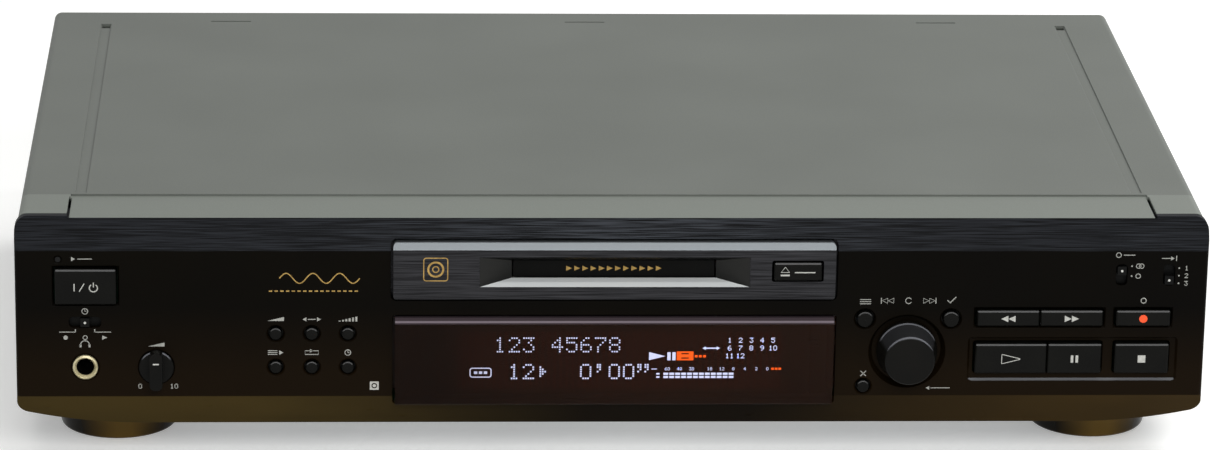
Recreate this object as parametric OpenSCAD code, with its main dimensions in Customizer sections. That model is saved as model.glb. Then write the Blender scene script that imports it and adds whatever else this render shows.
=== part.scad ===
/* [Case] */
// Width of the front panel, which is the widest part
panel_w = 430; // [425:1:440]
// Height from the surface the deck stands on to the top of the case
case_h = 95; // [92:1:105]
// Depth from the flat face of the panel to the rear face of the cover
case_depth = 268; // [255:1:300]
// How far each side of the panel stands out beyond the cover
side_overhang = 1; // [0.5:0.25:2]
// Thickness of the steel sheets
sheet_t = 1; // [0.8:0.1:1.2]
// Radius of the bends along the sides of the cover
bend_r = 3; // [2:0.5:4]
// Height of the feet
foot_h = 15; // [12:1:20]
// Diameter of a foot where it meets the case
foot_d = 48; // [40:1:54]
// Distance from the side of the panel to the middle of a foot
foot_inset = 34.5; // [30:0.5:45]
// Distance from the panel's face to the front feet
foot_front_y = 52.5; // [45:0.5:60]

/* [Front panel] */
// Wall thickness of the moulded panel
wall_t = 2.4; // [2:0.1:3]
// Height at which the flat face meets the leaning top strip
face_top_z = 83.6; // [82:0.2:85]
// How far the top strip leans back
strip_run = 5; // [3:0.5:6]
// Height of the crease above the lower chamfer
crease_z = 28.3; // [26.5:0.1:29]
// How far the lower chamfer runs back
chamfer_run = 6; // [4:0.5:7]
// Depth of the panel's outer skin from the face
skin_depth = 8.5; // [8:0.1:10]
// Depth of the lip that slides inside the cover
lip_depth = 20; // [18:0.5:24]
// Radius of the curve that lifts the lower edge at each end
sweep_r = 166; // [150:1:200]
// Distance from the side at which that curve starts
sweep_inset = 45; // [40:1:55]

/* [Cover] */
// Distance from the side of the panel to the slit beside the front tongue
tongue_inset = 19; // [15:1:23]
// Distance from the face to the front edge of the tongue
tongue_y = 5.2; // [5:0.1:6]
// Length of the stepped band at the front of the cover
band_end_y = 30.7; // [26:0.5:36]
// Distance from the side of the panel to a stiffening groove
groove_inset = 22.5; // [22:0.5:30]

/* [Loading slot] */
// Width of the brushed loading bezel
bezel_w = 159.2; // [150:0.2:164]
// Height of the lower edge of the loading bezel
bezel_low_z = 65.7; // [65:0.1:67]
// Height of the upper edge of the loading bezel
bezel_top_z = 86.7; // [86:0.1:88]
// How far the bezel stands in front of the face
bezel_proud = 2; // [1:0.1:3]
// Height of the bright bevel along the bezel's top edge
bezel_bevel = 2.1; // [1.5:0.1:2.5]
// Width of the funnel mouth
mouth_w = 98; // [92:1:104]
// Depth of the slot behind the face
slot_depth = 6; // [5.5:0.1:6.5]
// Width of a disc cartridge
cartridge_w = 72; // [72:0.1:72.2]
// Length of a disc cartridge
cartridge_l = 68; // [68:0.1:68.2]
// Thickness of a disc cartridge
cartridge_h = 5; // [5:0.1:5.2]
// Clearance above and below a cartridge in the slot
cartridge_gap = 0.75; // [0.6:0.05:0.8]
// Height of the middle of the slot
slot_z = 74.75; // [74.5:0.05:75]

/* [Display] */
// Left edge of the display window
window_left = -78.9; // [-79.2:0.1:-78]
// Right edge of the display window
window_right = 79.6; // [78:0.1:80]
// Lower edge of the display window
window_z0 = 25.8; // [25.4:0.1:26.4]
// Upper edge of the display window
window_z1 = 58.4; // [57:0.1:59]
// How far the window stands in front of the face
window_proud = 2.5; // [1.5:0.1:3]
// Gap round the window and the loading bezel
insert_gap = 0.9; // [0.5:0.1:1]

/* [Buttons] */
// Travel of every push button
button_travel = 1; // [0.5:0.1:1.2]
// Gap round the edge of a cap
cap_gap = 0.6; // [0.4:0.05:0.7]
// How far the long caps stand in front of the face
cap_proud = 1.8; // [1:0.1:2.4]
// Width of the power button
power_w = 21.9; // [20:0.1:24]
// Height of the power button's cap
power_cap_h = 13.2; // [12:0.1:14]
// Height of the rewind, forward and record caps
wind_h = 5.9; // [5:0.1:7]
// Width of the rewind and forward caps
wind_w = 22.8; // [20:0.1:24]
// Width of the record and stop caps
right_w = 19.7; // [18:0.1:21]
// Height of the play, pause and stop caps
play_h = 11.2; // [10:0.1:12]
// Width of the play cap
play_w = 26.1; // [24:0.1:27]
// Width of the pause cap
pause_w = 19.7; // [18:0.1:20]
// Width of the eject cap
eject_w = 17.2; // [16:0.1:18]
// Height of the eject cap
eject_h = 6.7; // [6:0.1:7]

/* [Switches and knobs] */
// Diameter of the plug that the phones jack takes
plug_d = 6.4; // [6.4:0.05:6.5]
// Depth of the phones socket
plug_l = 32; // [30:0.5:34]
// Diameter of the level knob's disc
level_d = 12.5; // [11:0.1:13]
// How far the level knob stands out
level_proud = 6; // [4:0.1:7]
// Diameter of the jog knob at its base
jog_d = 21.4; // [19:0.1:22]
// How far the jog knob stands out, as the front of the deck
jog_proud = 11; // [9:0.5:13]
// How far the jog knob can be pushed in
jog_travel = 0.8; // [0.5:0.1:0.9]

/* [Rear] */
// How far the shells of the sockets stand out behind the cover
socket_proud = 8; // [7:0.5:9]
// Diameter of the shell of a line socket
socket_d = 8.3; // [8.2:0.05:8.4]
// Diameter of the mains lead that the bushing takes
cord_d = 6.6; // [6:0.1:7]

/* [Disc mechanism] */
// Distance from the face to the middle of a loaded disc
disc_y = 57; // [56:0.5:60]
// How far the holder lowers the cartridge onto the spindle
lower_travel = 5; // [4:0.1:5.5]
// Run of the inclined cam slots for that drop
cam_travel = 10; // [9:0.1:11]
// Distance that the catch draws the cartridge in
catch_travel = 39; // [36:0.5:40]
// Module of every gear in the mechanism
gear_module = 0.6; // [0.55:0.01:0.62]
// Teeth of the sled wheel
sled_wheel_teeth = 30; // [28:1:31]
// Teeth of the sled pinion and of the loading pinions
pinion_teeth = 12; // [12:1:13]
// Teeth of the pinion on the sled motor
motor_teeth = 10; // [10:1:11]
// Teeth of the loading wheel
loading_wheel_teeth = 36; // [34:1:37]
// Travel of the optical pickup from the innermost to the outermost track
sled_travel = 16; // [14:0.5:16.5]

/* [Fits] */
// Clearance between pieces side by side
fit_gap = 0.3; // [0.2:0.05:0.4]
// Radial clearance of a running shaft
run_gap = 0.05; // [0.03:0.01:0.08]

/* [Hidden] */
$fn = 48;
// Extra length of a cut
eps = 0.5;

// Places at the standard width; each keeps its distance from its side
standard_w = 430;
side_shift = (panel_w - standard_w) / 2;
function at(x) = x + sign(x) * side_shift;
window_x0 = at(window_left);
window_x1 = at(window_right);
tongue_x = panel_w / 2 - tongue_inset;
groove_x = panel_w / 2 - groove_inset;
sweep_x = panel_w / 2 - sweep_inset;

// Places of the controls
power_x = at(-189.7);
power_z = 70.4;
timer_x = at(-190.1);
timer_z = 56.6;
jack_x = at(-190.2);
jack_z = 39.5;
level_x = at(-164.7);
small_x = at(-121.8);
small_top_z = 52.2;
jog_x = at(106.5);
jog_z = 45.3;
wind_x = at(131.4);
wind_z = 58.2;
right_x = at(182.1);
play_z = 42.9;
eject_x = 57.3;
eject_z = 76.6;
mode_x = at(183.5);
mode_z = 74.5;
input_x = at(200.8);

// Spacing of the small buttons and those round the jog knob
small_pitch_x = 12.97;
small_pitch_z = 12.8;
menu_dx = 15.6;
menu_dz = 12.4;
clear_dz = 13.4;
pair_gap = 0.3;

// Small caps, bevels and the dish round play, pause and stop
small_d = 4.4;
menu_d = 5.8;
cap_bevel = 0.5;
mouth_bevel = 0.6;
dish_depth = 0.9;

// Switch slots, their levers and steps, and the bar on the level knob
timer_slot_l = 11.6;
mode_slot_l = 8;
slot_w = 4.2;
lever_l = 3.2;
timer_step = 3.6;
input_step = 1.85;
level_bar_w = 4.6;
level_bar_l = 14;

// Corners of the panel, and pressed details of the cover
corner_top_r = 4.5;
corner_low_r = 5;
band_step = 0.6;
groove_w = 4;
groove_d = 0.45;
rear_slot_gap = 13;
rear_slot_l = 16;
rear_slot_w = 1.1;
rear_slot_pitch = 142.6;
foot_base_d = 43;
foot_rear_gap = 38;

// Sockets at the rear
line_x = at(165);
line_z = 62;
coax_x = at(130);
optical_x = at(95);
cord_x = at(-185);
cord_z = 40;
socket_pitch = 14;

// Innermost track, and the angle by which the head arm drops
inner_track = 15;
head_drop = 18;

// Mouth of the funnel, the window's wall and the display tube
mouth_low_z = 70.5;
mouth_top_z = 81.9;
window_t = 2;
tube_w = window_x1 - window_x0 - 26.5;
tube_h = 27;
tube_t = 6;

// Well and face of the jog knob, and the two belt pulleys
jog_well_d = 28;
jog_face_d = 18.4;
pulley_r = 9;
motor_pulley_r = 3;

total_depth = jog_proud + case_depth + socket_proud;
face_y = jog_proud - total_depth / 2;

cover_w = panel_w - 2 * side_overhang;
inside_w = cover_w - 2 * sheet_t - fit_gap;
pan_z = foot_h;
floor_z = pan_z + sheet_t;
panel_low_z = floor_z;
inner_y = case_depth - 2 * sheet_t;
rear_face_y = case_depth - sheet_t - 0.05;
cover_front_y = skin_depth + 0.2;
pan_front_y = skin_depth + 0.2;
corner_cut_y = lip_depth + 8;
flange_h = 12;
foot_rear_y = case_depth - foot_rear_gap;

// Boards behind the panel
board_y = 13;
board_t = 1.6;
board_back = board_y + board_t;
switch_h = 4.3;
stem_y = board_y - switch_h - button_travel - 0.1;
screw_r = 1.25;

// The slot and the cartridge, raised and lowered
slot_in_w = cartridge_w + 2 * cartridge_gap;
slot_h = cartridge_h + 2 * cartridge_gap;
holder_t = 0.8;
holder_in_w = cartridge_w + 0.6;
holder_out_w = holder_in_w + 2 * holder_t;
holder_front_y = 18;
holder_l = disc_y + cartridge_l / 2 + 3 - holder_front_y;
shelf_z = slot_z - cartridge_h / 2 - 0.25;
roof_z = slot_z + cartridge_h / 2 + 0.35;
disc_z = shelf_z + 0.25 + 1.1 - lower_travel;

// Levels inside the mechanism
base_z = 60;
base_t = 1.5;
frame_z = 44;
frame_t = 1.2;
frame_front_y = 19;
frame_rear_y = 112;
frame_x0 = -41;
frame_x1 = 62;
rod_r = 1.5;
rod_z = 55;
rod_dy = 16;
rod_end_x = 57.5;

// Gears
pinion_r = gear_module * pinion_teeth / 2;
sled_wheel_r = gear_module * sled_wheel_teeth / 2;
motor_pinion_r = gear_module * motor_teeth / 2;
loading_wheel_r = gear_module * loading_wheel_teeth / 2;
sled_gear_x = 28;
rack_y = disc_y - 21.5;
sled_gear_y = rack_y - pinion_r;
sled_motor_angle = 200;
sled_motor_reach = sled_wheel_r + motor_pinion_r;
sled_motor_x = sled_gear_x + sled_motor_reach * cos(sled_motor_angle);
sled_motor_y = sled_gear_y + sled_motor_reach * sin(sled_motor_angle);
sled_wheel_z = 48;
sled_pinion_z = 51;
cam_rack_x = -31;
loading_x = cam_rack_x + pinion_r;
loading_y = 92;
loading_wheel_z = 45.7;
loading_pinion_z = 47.6;
pulley_gear_x = loading_x + loading_wheel_r + pinion_r;
pulley_z = 49;
motor_x = 14;
motor_y = 98;
axle_r = 1;

// Pins of the holder in the cam slots
pin_r = 1.5;
left_pin_y = [33, 88];
right_pin_y = [24, 88];
pin_z = 74.6;
cam_plate_x = -39.2;
cam_plate_t = 1.2;
upright_x = 38;
upright_t = 1.2;

lens_z = disc_z - 3.6;

// Recording head
arm_reach = 26;
arm_pivot_x = inner_track + arm_reach;
arm_z = roof_z + holder_t + 2.2;

// == shapes ==

// Points along an arc, counted anticlockwise from angle a0 to angle a1
function arc(cx, cy, r, a0, a1, n = 6) =
  [for (i = [0:n]) let (a = a0 + (a1 - a0) * i / n) [cx + r * cos(a), cy + r * sin(a)]];

// A rectangle about the origin with round corners
function round_rect(w, h, r, n = 5) = concat(
  arc(w / 2 - r, h / 2 - r, r, 0, 90, n),
  arc(r - w / 2, h / 2 - r, r, 90, 180, n),
  arc(r - w / 2, r - h / 2, r, 180, 270, n),
  arc(w / 2 - r, r - h / 2, r, 270, 360, n)
);

// A shape drawn as seen from the front, carried back from y0 by a depth
module from_front(y0, depth)
  translate([0, y0 + depth, 0]) rotate([90, 0, 0]) linear_extrude(depth) children();

// A side profile drawn as depth and height, carried from x0 to the right
module along_x(x0, length)
  translate([x0, 0, 0]) rotate([90, 0, 90]) linear_extrude(length) children();

// A shape turned about a line along Y, from a profile of radius and depth
module turned(x, z)
  translate([x, 0, z]) rotate([-90, 0, 0]) rotate_extrude() children();

// A round bar along Y
module bar_y(x, y, z, r, length)
  translate([x, y, z]) rotate([-90, 0, 0]) cylinder(r = r, h = length);

// A round bar along X
module bar_x(x, y, z, r, length)
  translate([x, y, z]) rotate([0, 90, 0]) cylinder(r = r, h = length);

// A round bar upright
module bar_z(x, y, z, r, length)
  translate([x, y, z]) cylinder(r = r, h = length);

// A block between two corners
module block(a, b)
  translate(a) cube(b - a);

// A prism, w by h at y1, that widens towards y0 by its own amount on each side
module funnel(x, z, w, h, y0, y1, left, right, low, high) {
  x0 = x - w / 2;
  z0 = z - h / 2;
  intersection() {
    translate([0, 0, z0 - low - eps]) linear_extrude(h + low + high + 2 * eps)
      polygon([[x0 - left, y0], [x0 + w + right, y0], [x0 + w, y1], [x0, y1]]);
    along_x(x0 - left - eps, w + left + right + 2 * eps)
      polygon([[y0, z0 - low], [y1, z0], [y1, z0 + h], [y0, z0 + h + high]]);
  }
}

// An opening through the panel's wall with a bevelled mouth
module opening(x, z, w, h, r, depth = wall_t + 2) {
  translate([x, 0, z]) from_front(-eps, depth + eps) polygon(round_rect(w, h, r));
  funnel(x, z, w - r / 2, h - r / 2, -mouth_bevel, mouth_bevel + r / 4,
    2 * mouth_bevel, 2 * mouth_bevel, 2 * mouth_bevel, 2 * mouth_bevel);
}

// A round opening through the panel's wall with a bevelled mouth
module round_opening(x, z, d, depth = wall_t + 2)
  turned(x, z) polygon([[0, -eps], [d / 2 + mouth_bevel + eps, -eps], [d / 2, mouth_bevel],
    [d / 2, depth], [0, depth]]);

// == gear outlines ==

// Angle by which an involute turns away from its base circle
function involute(a) = tan(a) * 180 / PI - a;

// Half the angle that a tooth fills at radius r
function tooth_half(teeth, r, play) =
  let (rp = gear_module * teeth / 2, rb = rp * cos(20))
  90 / teeth - play / rp * 90 / PI + involute(20) - (r > rb ? involute(acos(rb / r)) : 0);

// Outline of a spur gear with involute flanks; a tooth points along +X
function gear_points(teeth, play = 0.12, steps = 3) =
  let (
    rp = gear_module * teeth / 2,
    ra = rp + gear_module,
    rf = rp - 1.25 * gear_module,
    rs = max(rf, rp * cos(20))
  )
  [for (t = [0:teeth - 1])
    let (mid = 360 * t / teeth)
    for (p = concat(
      [[rf, -tooth_half(teeth, rs, play)]],
      [for (i = [0:steps]) let (r = rs + (ra - rs) * i / steps) [r, -tooth_half(teeth, r, play)]],
      [for (i = [steps:-1:0]) let (r = rs + (ra - rs) * i / steps) [r, tooth_half(teeth, r, play)]],
      [[rf, tooth_half(teeth, rs, play)]]
    )) [p[0] * cos(mid + p[1]), p[0] * sin(mid + p[1])]];

// Outline of a rack along +X with its pitch line at 0 and its teeth upwards;
// a gap is centred on x = 0
function rack_points(first, last, back, play = 0.06) =
  let (
    pitch = PI * gear_module,
    half = pitch / 4 - play,
    rise = gear_module,
    fall = 1.25 * gear_module
  )
  concat(
    [[(first - 0.1) * pitch, -back], [(last + 1.1) * pitch, -back], [(last + 1.1) * pitch, -fall]],
    [for (i = [last:-1:first])
      let (c = (i + 0.5) * pitch)
      for (p = [
        [c + half + fall * tan(20), -fall],
        [c + half - rise * tan(20), rise],
        [c - half + rise * tan(20), rise],
        [c - half - fall * tan(20), -fall]
      ]) p],
    [[(first - 0.1) * pitch, -fall]]
  );

module spur(teeth, z, h, turn, bore)
  translate([0, 0, z]) rotate([0, 0, turn]) difference() {
    linear_extrude(h) polygon(gear_points(teeth));
    bar_z(0, 0, -eps, bore, h + 2 * eps);
  }

// == front panel ==

// Depth of the leaning strip and of the chamfer at height z
function skin_y(z) =
  z > face_top_z ? strip_run * (z - face_top_z) / (case_h - face_top_z)
  : z < crease_z ? chamfer_run * (crease_z - z) / (crease_z - panel_low_z)
  : 0;

// Side profile of the panel, drawn in from its outside by an inset
function panel_profile(inset, rear) = [
  [inset, crease_z + inset / 4],
  [chamfer_run + inset * 0.9, panel_low_z + inset],
  [rear, panel_low_z + inset],
  [rear, case_h - inset],
  [strip_run + 0.6 + inset * 0.9, case_h - inset],
  [strip_run + inset * 0.9, case_h - inset - 0.5],
  [inset, face_top_z - inset / 4]
];

// Right half of the panel's front outline, from the middle of the lower edge
// round to the middle of the upper edge
function half_outline(inset) =
  let (
    w = panel_w / 2 - inset,
    r = sweep_r - inset,
    low_r = max(corner_low_r - inset, 0.4),
    top_r = max(corner_top_r - inset, 0.4),
    centre_z = panel_low_z + sweep_r,
    end_a = asin((w - low_r - sweep_x) / (r - low_r)),
    corner_z = centre_z - (r - low_r) * cos(end_a)
  )
  concat(
    [for (i = [0:8]) let (a = end_a * i / 8)
      [sweep_x + r * sin(a), centre_z - r * cos(a)]],
    arc(w - low_r, corner_z, low_r, end_a - 80, 0, 5),
    arc(w - top_r, case_h - inset - top_r, top_r, 0, 90, 6)
  );

function panel_outline(inset) =
  let (half = half_outline(inset), n = len(half))
  concat(half, [for (i = [n - 1:-1:0]) [-half[i][0], half[i][1]]]);

// The panel's outer form, with round upright corners
module panel_form(inset, rear)
  intersection() {
    along_x(-panel_w / 2, panel_w) polygon(panel_profile(inset, rear));
    from_front(0, rear) polygon(panel_outline(inset));
    if (inset == 0)
      linear_extrude(case_h) polygon(concat(
        arc(panel_w / 2 - 1.6, 1.6, 1.6, -90, 0, 4),
        [[panel_w / 2, rear], [-panel_w / 2, rear]],
        arc(1.6 - panel_w / 2, 1.6, 1.6, 180, 270, 4)
      ));
  }

// The lip behind the skin, one sheet and a gap smaller all round
module panel_lip() {
  inset = side_overhang + sheet_t + fit_gap;
  top_z = case_h - sheet_t - band_step - fit_gap;
  difference() {
    translate([0, 0, (panel_low_z + top_z) / 2]) from_front(skin_depth - 2, lip_depth - skin_depth + 2)
      polygon(round_rect(panel_w - 2 * inset, top_z - panel_low_z, bend_r));
    block([-panel_w / 2 + inset + wall_t, 0, panel_low_z + wall_t],
      [panel_w / 2 - inset - wall_t, lip_depth + eps, top_z - wall_t]);
    // The lower corners follow the lifted edge of the skin
    for (side = [-1, 1])
      translate([side * panel_w / 2, lip_depth / 2, panel_low_z])
        cube([2 * (panel_w / 2 - sweep_x), lip_depth + eps, 14], center = true);
  }
}

// Screw posts that carry the boards behind the panel
post_r = 2.6;
post_places = [for (p = [
  [-204, 26], [-146, 26], [-204, 80], [-130, 80], [-88, 62], [90, 76], [204, 29], [204, 63.6],
  [120, 74], [126, 29], [-88, 24], [-76, 21.4], [50, 21.4]
]) [at(p[0]), p[1]]];

module panel_posts()
  for (p = post_places)
    bar_y(p[0], skin_y(p[1]) + 1, p[1], post_r, board_y - skin_y(p[1]) - 1);

// Openings of the buttons and switches
module control_openings() {
  gap2 = 2 * cap_gap;
  opening(power_x, power_z, power_w + gap2, power_cap_h + gap2, 1);
  for (i = [0:2], j = [0:1])
    round_opening(small_x + i * small_pitch_x, small_top_z - j * small_pitch_z, small_d + gap2);
  for (side = [-1, 1])
    round_opening(jog_x + side * menu_dx, jog_z + menu_dz, menu_d + gap2);
  round_opening(jog_x - menu_dx, jog_z - clear_dz, small_d + gap2);
  opening(wind_x + wind_w + pair_gap / 2, wind_z, 2 * wind_w + pair_gap + gap2, wind_h + gap2, 1);
  opening(right_x + right_w / 2, wind_z, right_w + gap2, wind_h + gap2, 1);
  opening(play_mid_x, play_z, play_w + pair_gap + pause_w + gap2, play_h + gap2, 1);
  opening(right_x + right_w / 2, play_z, right_w + gap2, play_h + gap2, 1);
  for (s = [[timer_x, timer_z, timer_slot_l, slot_w], [mode_x, mode_z, slot_w, mode_slot_l],
    [input_x, mode_z, slot_w, mode_slot_l]])
    translate([s[0], 0, s[1]]) from_front(-eps, wall_t + 2) polygon(round_rect(s[2], s[3], lever_l / 2));
}
play_x = wind_x - 0.2;
play_mid_x = play_x + (play_w + pair_gap + pause_w) / 2;

// The shallow dish that play, pause and stop share
module transport_dish() {
  left = play_x - 1.8;
  right = right_x + right_w + 2.6;
  low = play_z - play_h / 2 - 2.6;
  high = play_z + play_h / 2 + 1.6;
  x = (left + right) / 2;
  z = (low + high) / 2;
  intersection() {
    funnel(x, z, right - left, high - low, -dish_depth, dish_depth, 1.6, 1.6, 2, 1);
    translate([x, 0, z]) from_front(-eps, 2) polygon(round_rect(right - left + 1.6, high - low + 1.5, 2));
  }
}

jog_floor_y = 3;
level_floor_y = 1.6;

module front_panel()
  color("#1b1a18") difference() {
  union() {
    difference() {
      union() {
        panel_form(0, skin_depth);
        panel_lip();
      }
      panel_form(wall_t, lip_depth + eps);
      // Step under the cover's tongue
      block([-tongue_x - fit_gap, tongue_y - 0.2, case_h - sheet_t - band_step - fit_gap],
        [tongue_x + fit_gap, lip_depth + eps, case_h + eps]);
    }
    panel_posts();
    // Floors of the two round wells
    bar_y(jog_x, 0.5, jog_z, jog_well_d / 2 + 1.2, jog_floor_y + 0.9);
    bar_y(level_x, 0.5, jack_z, level_d / 2 + 1.8, level_floor_y + 0.9);
    // Bottom edge rail that sits on the chassis
    block([-sweep_x, chamfer_run + 1, panel_low_z],
      [sweep_x, lip_depth, panel_low_z + wall_t]);
  }
  control_openings();
  transport_dish();
  // Jog well with its shaft hole
  turned(jog_x, jog_z) polygon([[0, -eps], [jog_well_d / 2 + 0.5, -eps], [jog_well_d / 2, 0],
    [jog_well_d / 2 - 1.4, jog_floor_y], [shaft_r + 0.6, jog_floor_y],
    [shaft_r + 0.6, jog_floor_y + 3], [0, jog_floor_y + 3]]);
  // Level knob's well with its shaft hole
  turned(level_x, jack_z) polygon([[0, -eps], [level_d / 2 + 0.8, -eps], [level_d / 2 + 0.4, 0],
    [level_d / 2 + 0.4, level_floor_y], [shaft_r + 0.6, level_floor_y],
    [shaft_r + 0.6, level_floor_y + 3], [0, level_floor_y + 3]]);
  // Phones jack and standby lamp
  round_opening(jack_x, jack_z, jack_ring_d + 2 * fit_gap);
  round_opening(lamp_x, lamp_z, lamp_d + 2 * run_gap);
  // Openings of the loading bezel and of the display window
  from_front(-eps, lip_depth) translate([0, (bezel_low_z + bezel_top_z) / 2])
    polygon(round_rect(bezel_w + 2 * insert_gap,
      bezel_top_z - bezel_low_z + 2 * insert_gap, 2));
  from_front(-eps, lip_depth) translate([(window_x0 + window_x1) / 2, (window_z0 + window_z1) / 2])
    polygon(round_rect(window_x1 - window_x0 + 2 * insert_gap,
      window_z1 - window_z0 + 2 * insert_gap, 1));
  // Screw holes in the posts
  for (p = post_places)
    bar_y(p[0], board_y - 7, p[1], screw_r, 8);
}

shaft_r = 3;
jack_ring_d = 9;
lamp_x = at(-199.5);
lamp_z = 80.3;
lamp_d = 2;

// == loading bezel ==

module loading_bezel()
  color("#3c3d3f") difference() {
  union() {
    intersection() {
      along_x(-bezel_w / 2, bezel_w)
        polygon([[-bezel_proud, bezel_low_z + 0.3], [-bezel_proud + 0.3, bezel_low_z],
          [slot_depth, bezel_low_z], [slot_depth, bezel_top_z],
          [bezel_bevel * 1.15 - bezel_proud, bezel_top_z],
          [-bezel_proud, bezel_top_z - bezel_bevel]]);
      from_front(-bezel_proud, slot_depth + bezel_proud)
        translate([0, (bezel_low_z + bezel_top_z) / 2])
          polygon(round_rect(bezel_w, bezel_top_z - bezel_low_z, 1.4));
    }
    // Rear flange behind the panel's wall
    block([-bezel_w / 2 - 2.4, flange_y, bezel_low_z - 2.2],
      [bezel_w / 2 + 2.4, slot_depth, bezel_top_z + 0.8]);
    // Ears that carry the flap's pins
    for (side = [-1, 1])
      translate([side * (slot_in_w / 2 + 1.6), slot_depth + 1.7, flap_pin_z])
        cube([2, 3.6, 3.6], center = true);
  }
  // Funnel and slot
  funnel(0, slot_z, slot_in_w, slot_h, -bezel_proud - 0.02, slot_depth + 0.02,
    (mouth_w - slot_in_w) / 2, (mouth_w - slot_in_w) / 2,
    slot_z - slot_h / 2 - mouth_low_z, mouth_top_z - slot_z - slot_h / 2);
  bar_x(-slot_in_w / 2 - 4, flap_pin_y, flap_pin_z, flap_pin_r + run_gap,
    slot_in_w + 8);
  // Opening of the eject cap
  translate([eject_x + eject_w / 2, 0, eject_z])
    from_front(-bezel_proud - eps, slot_depth + bezel_proud + 2 * eps)
      polygon(round_rect(eject_w + 1.5, eject_h + 1.3, 0.8));
}
flange_y = 4.9;
flap_pin_y = slot_depth + 1.7;
flap_pin_z = slot_z + slot_h / 2 + 0.9;
flap_pin_r = 0.8;
flap_t = 1;

module disc_flap()
  color("#141414") union() {
  block([-slot_in_w / 2 + 0.4, flap_pin_y - flap_t / 2 - 0.5, slot_z - slot_h / 2 + 0.2],
    [slot_in_w / 2 - 0.4, flap_pin_y + flap_t / 2 - 0.5, flap_pin_z - 0.2]);
  bar_x(-slot_in_w / 2 - 2.2, flap_pin_y, flap_pin_z, flap_pin_r, slot_in_w + 4.4);
  bar_x(-slot_in_w / 2 + 0.4, flap_pin_y, flap_pin_z, flap_pin_r + 0.4, slot_in_w - 0.8);
}

// == display ==

module display_window()
  color("#2a1512") union() {
  along_x(window_x0, window_x1 - window_x0)
    polygon([[-window_proud, window_z0 + 0.3], [-window_proud + 0.3, window_z0],
      [window_back_y, window_z0], [window_back_y, window_z0 + window_t],
      [window_t - window_proud, window_z0 + window_t],
      [window_t - window_proud, window_z1 - window_t - 0.4],
      [window_back_y, window_z1 - window_t - 0.4], [window_back_y, window_z1],
      [-0.5, window_z1], [-window_proud, window_z1 - 1.8]]);
  // Flange that lies behind the panel's wall
  block([window_x0 - 2.4, wall_t + fit_gap, crease_z + 2],
    [window_x0 + 2, window_back_y, window_z1 + 1.2]);
  block([window_x1 - 2, wall_t + fit_gap, crease_z + 2],
    [window_x1 + 2.4, window_back_y, window_z1 + 1.2]);
}
window_back_y = wall_t + fit_gap + 1.4;
tube_x = (window_x0 + window_x1) / 2 + 4.65;
tube_z = 40.2;
tube_y = board_y - 1.7 - tube_t;

module display_tube()
  color("#202428") union() {
  translate([tube_x, 0, tube_z]) from_front(tube_y, tube_t - 1.2)
    polygon(round_rect(tube_w, tube_h, 1));
  // Rear glass plate and the seal-off tip
  block([tube_x - tube_w / 2 - 1, tube_y + tube_t - 1.2, tube_z - tube_h / 2 - 0.6],
    [tube_x + tube_w / 2 + 1, tube_y + tube_t, tube_z + tube_h / 2 + 0.6]);
  bar_x(tube_x + tube_w / 2 - eps, tube_y + 2, tube_z + 6, 1.6, 4 + eps);
}

module tube_holder()
  color("#101010") difference() {
  block([tube_x - tube_w / 2 - 2.5, tube_y + tube_t - 2, tube_z - tube_h / 2 - 2.2],
    [tube_x + tube_w / 2 + 2.5, board_y, tube_z + tube_h / 2 + 2.2]);
  block([tube_x - tube_w / 2 - 1.2, tube_y, tube_z - tube_h / 2 - 0.8],
    [tube_x + tube_w / 2 + 1.2, tube_y + tube_t, tube_z + tube_h / 2 + 0.8]);
  // Windows that leave a light frame
  for (i = [-1:1])
    translate([tube_x + i * tube_w / 3.1, board_y, tube_z])
      cube([tube_w / 3.6, 6, tube_h - 6], center = true);
}

// Centres of all push buttons, for the switches behind them
button_places = concat(
  [[power_x, power_z]],
  [for (i = [0:2], j = [0:1]) [small_x + i * small_pitch_x, small_top_z - j * small_pitch_z]],
  [for (side = [-1, 1]) [jog_x + side * menu_dx, jog_z + menu_dz]],
  [[jog_x - menu_dx, jog_z - clear_dz]],
  [[wind_x + wind_w / 2, wind_z], [wind_x + 1.5 * wind_w + pair_gap, wind_z]],
  [[right_x + right_w / 2, wind_z], [right_x + right_w / 2, play_z]],
  [[play_x + play_w / 2, play_z], [play_x + play_w + pair_gap + pause_w / 2, play_z]],
  [[eject_x + eject_w / 2, eject_z]]
);

module tact_switch(x, z) {
  block([x - 3, board_y - 3.5, z - 3], [x + 3, board_y, z + 3]);
  bar_y(x, board_y - switch_h, z, 1.7, switch_h - 3);
}

// Body of a slide switch, with its lever's channel
module slide_body(x, z, l, w)
  difference() {
    block([x - l / 2, board_y - 5, z - w / 2], [x + l / 2, board_y, z + w / 2]);
    block([x - l / 2 + 1, board_y - 5 - eps, z - w / 2 + 1], [x + l / 2 - 1, board_y - 2, z + w / 2 - 1]);
  }

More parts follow.
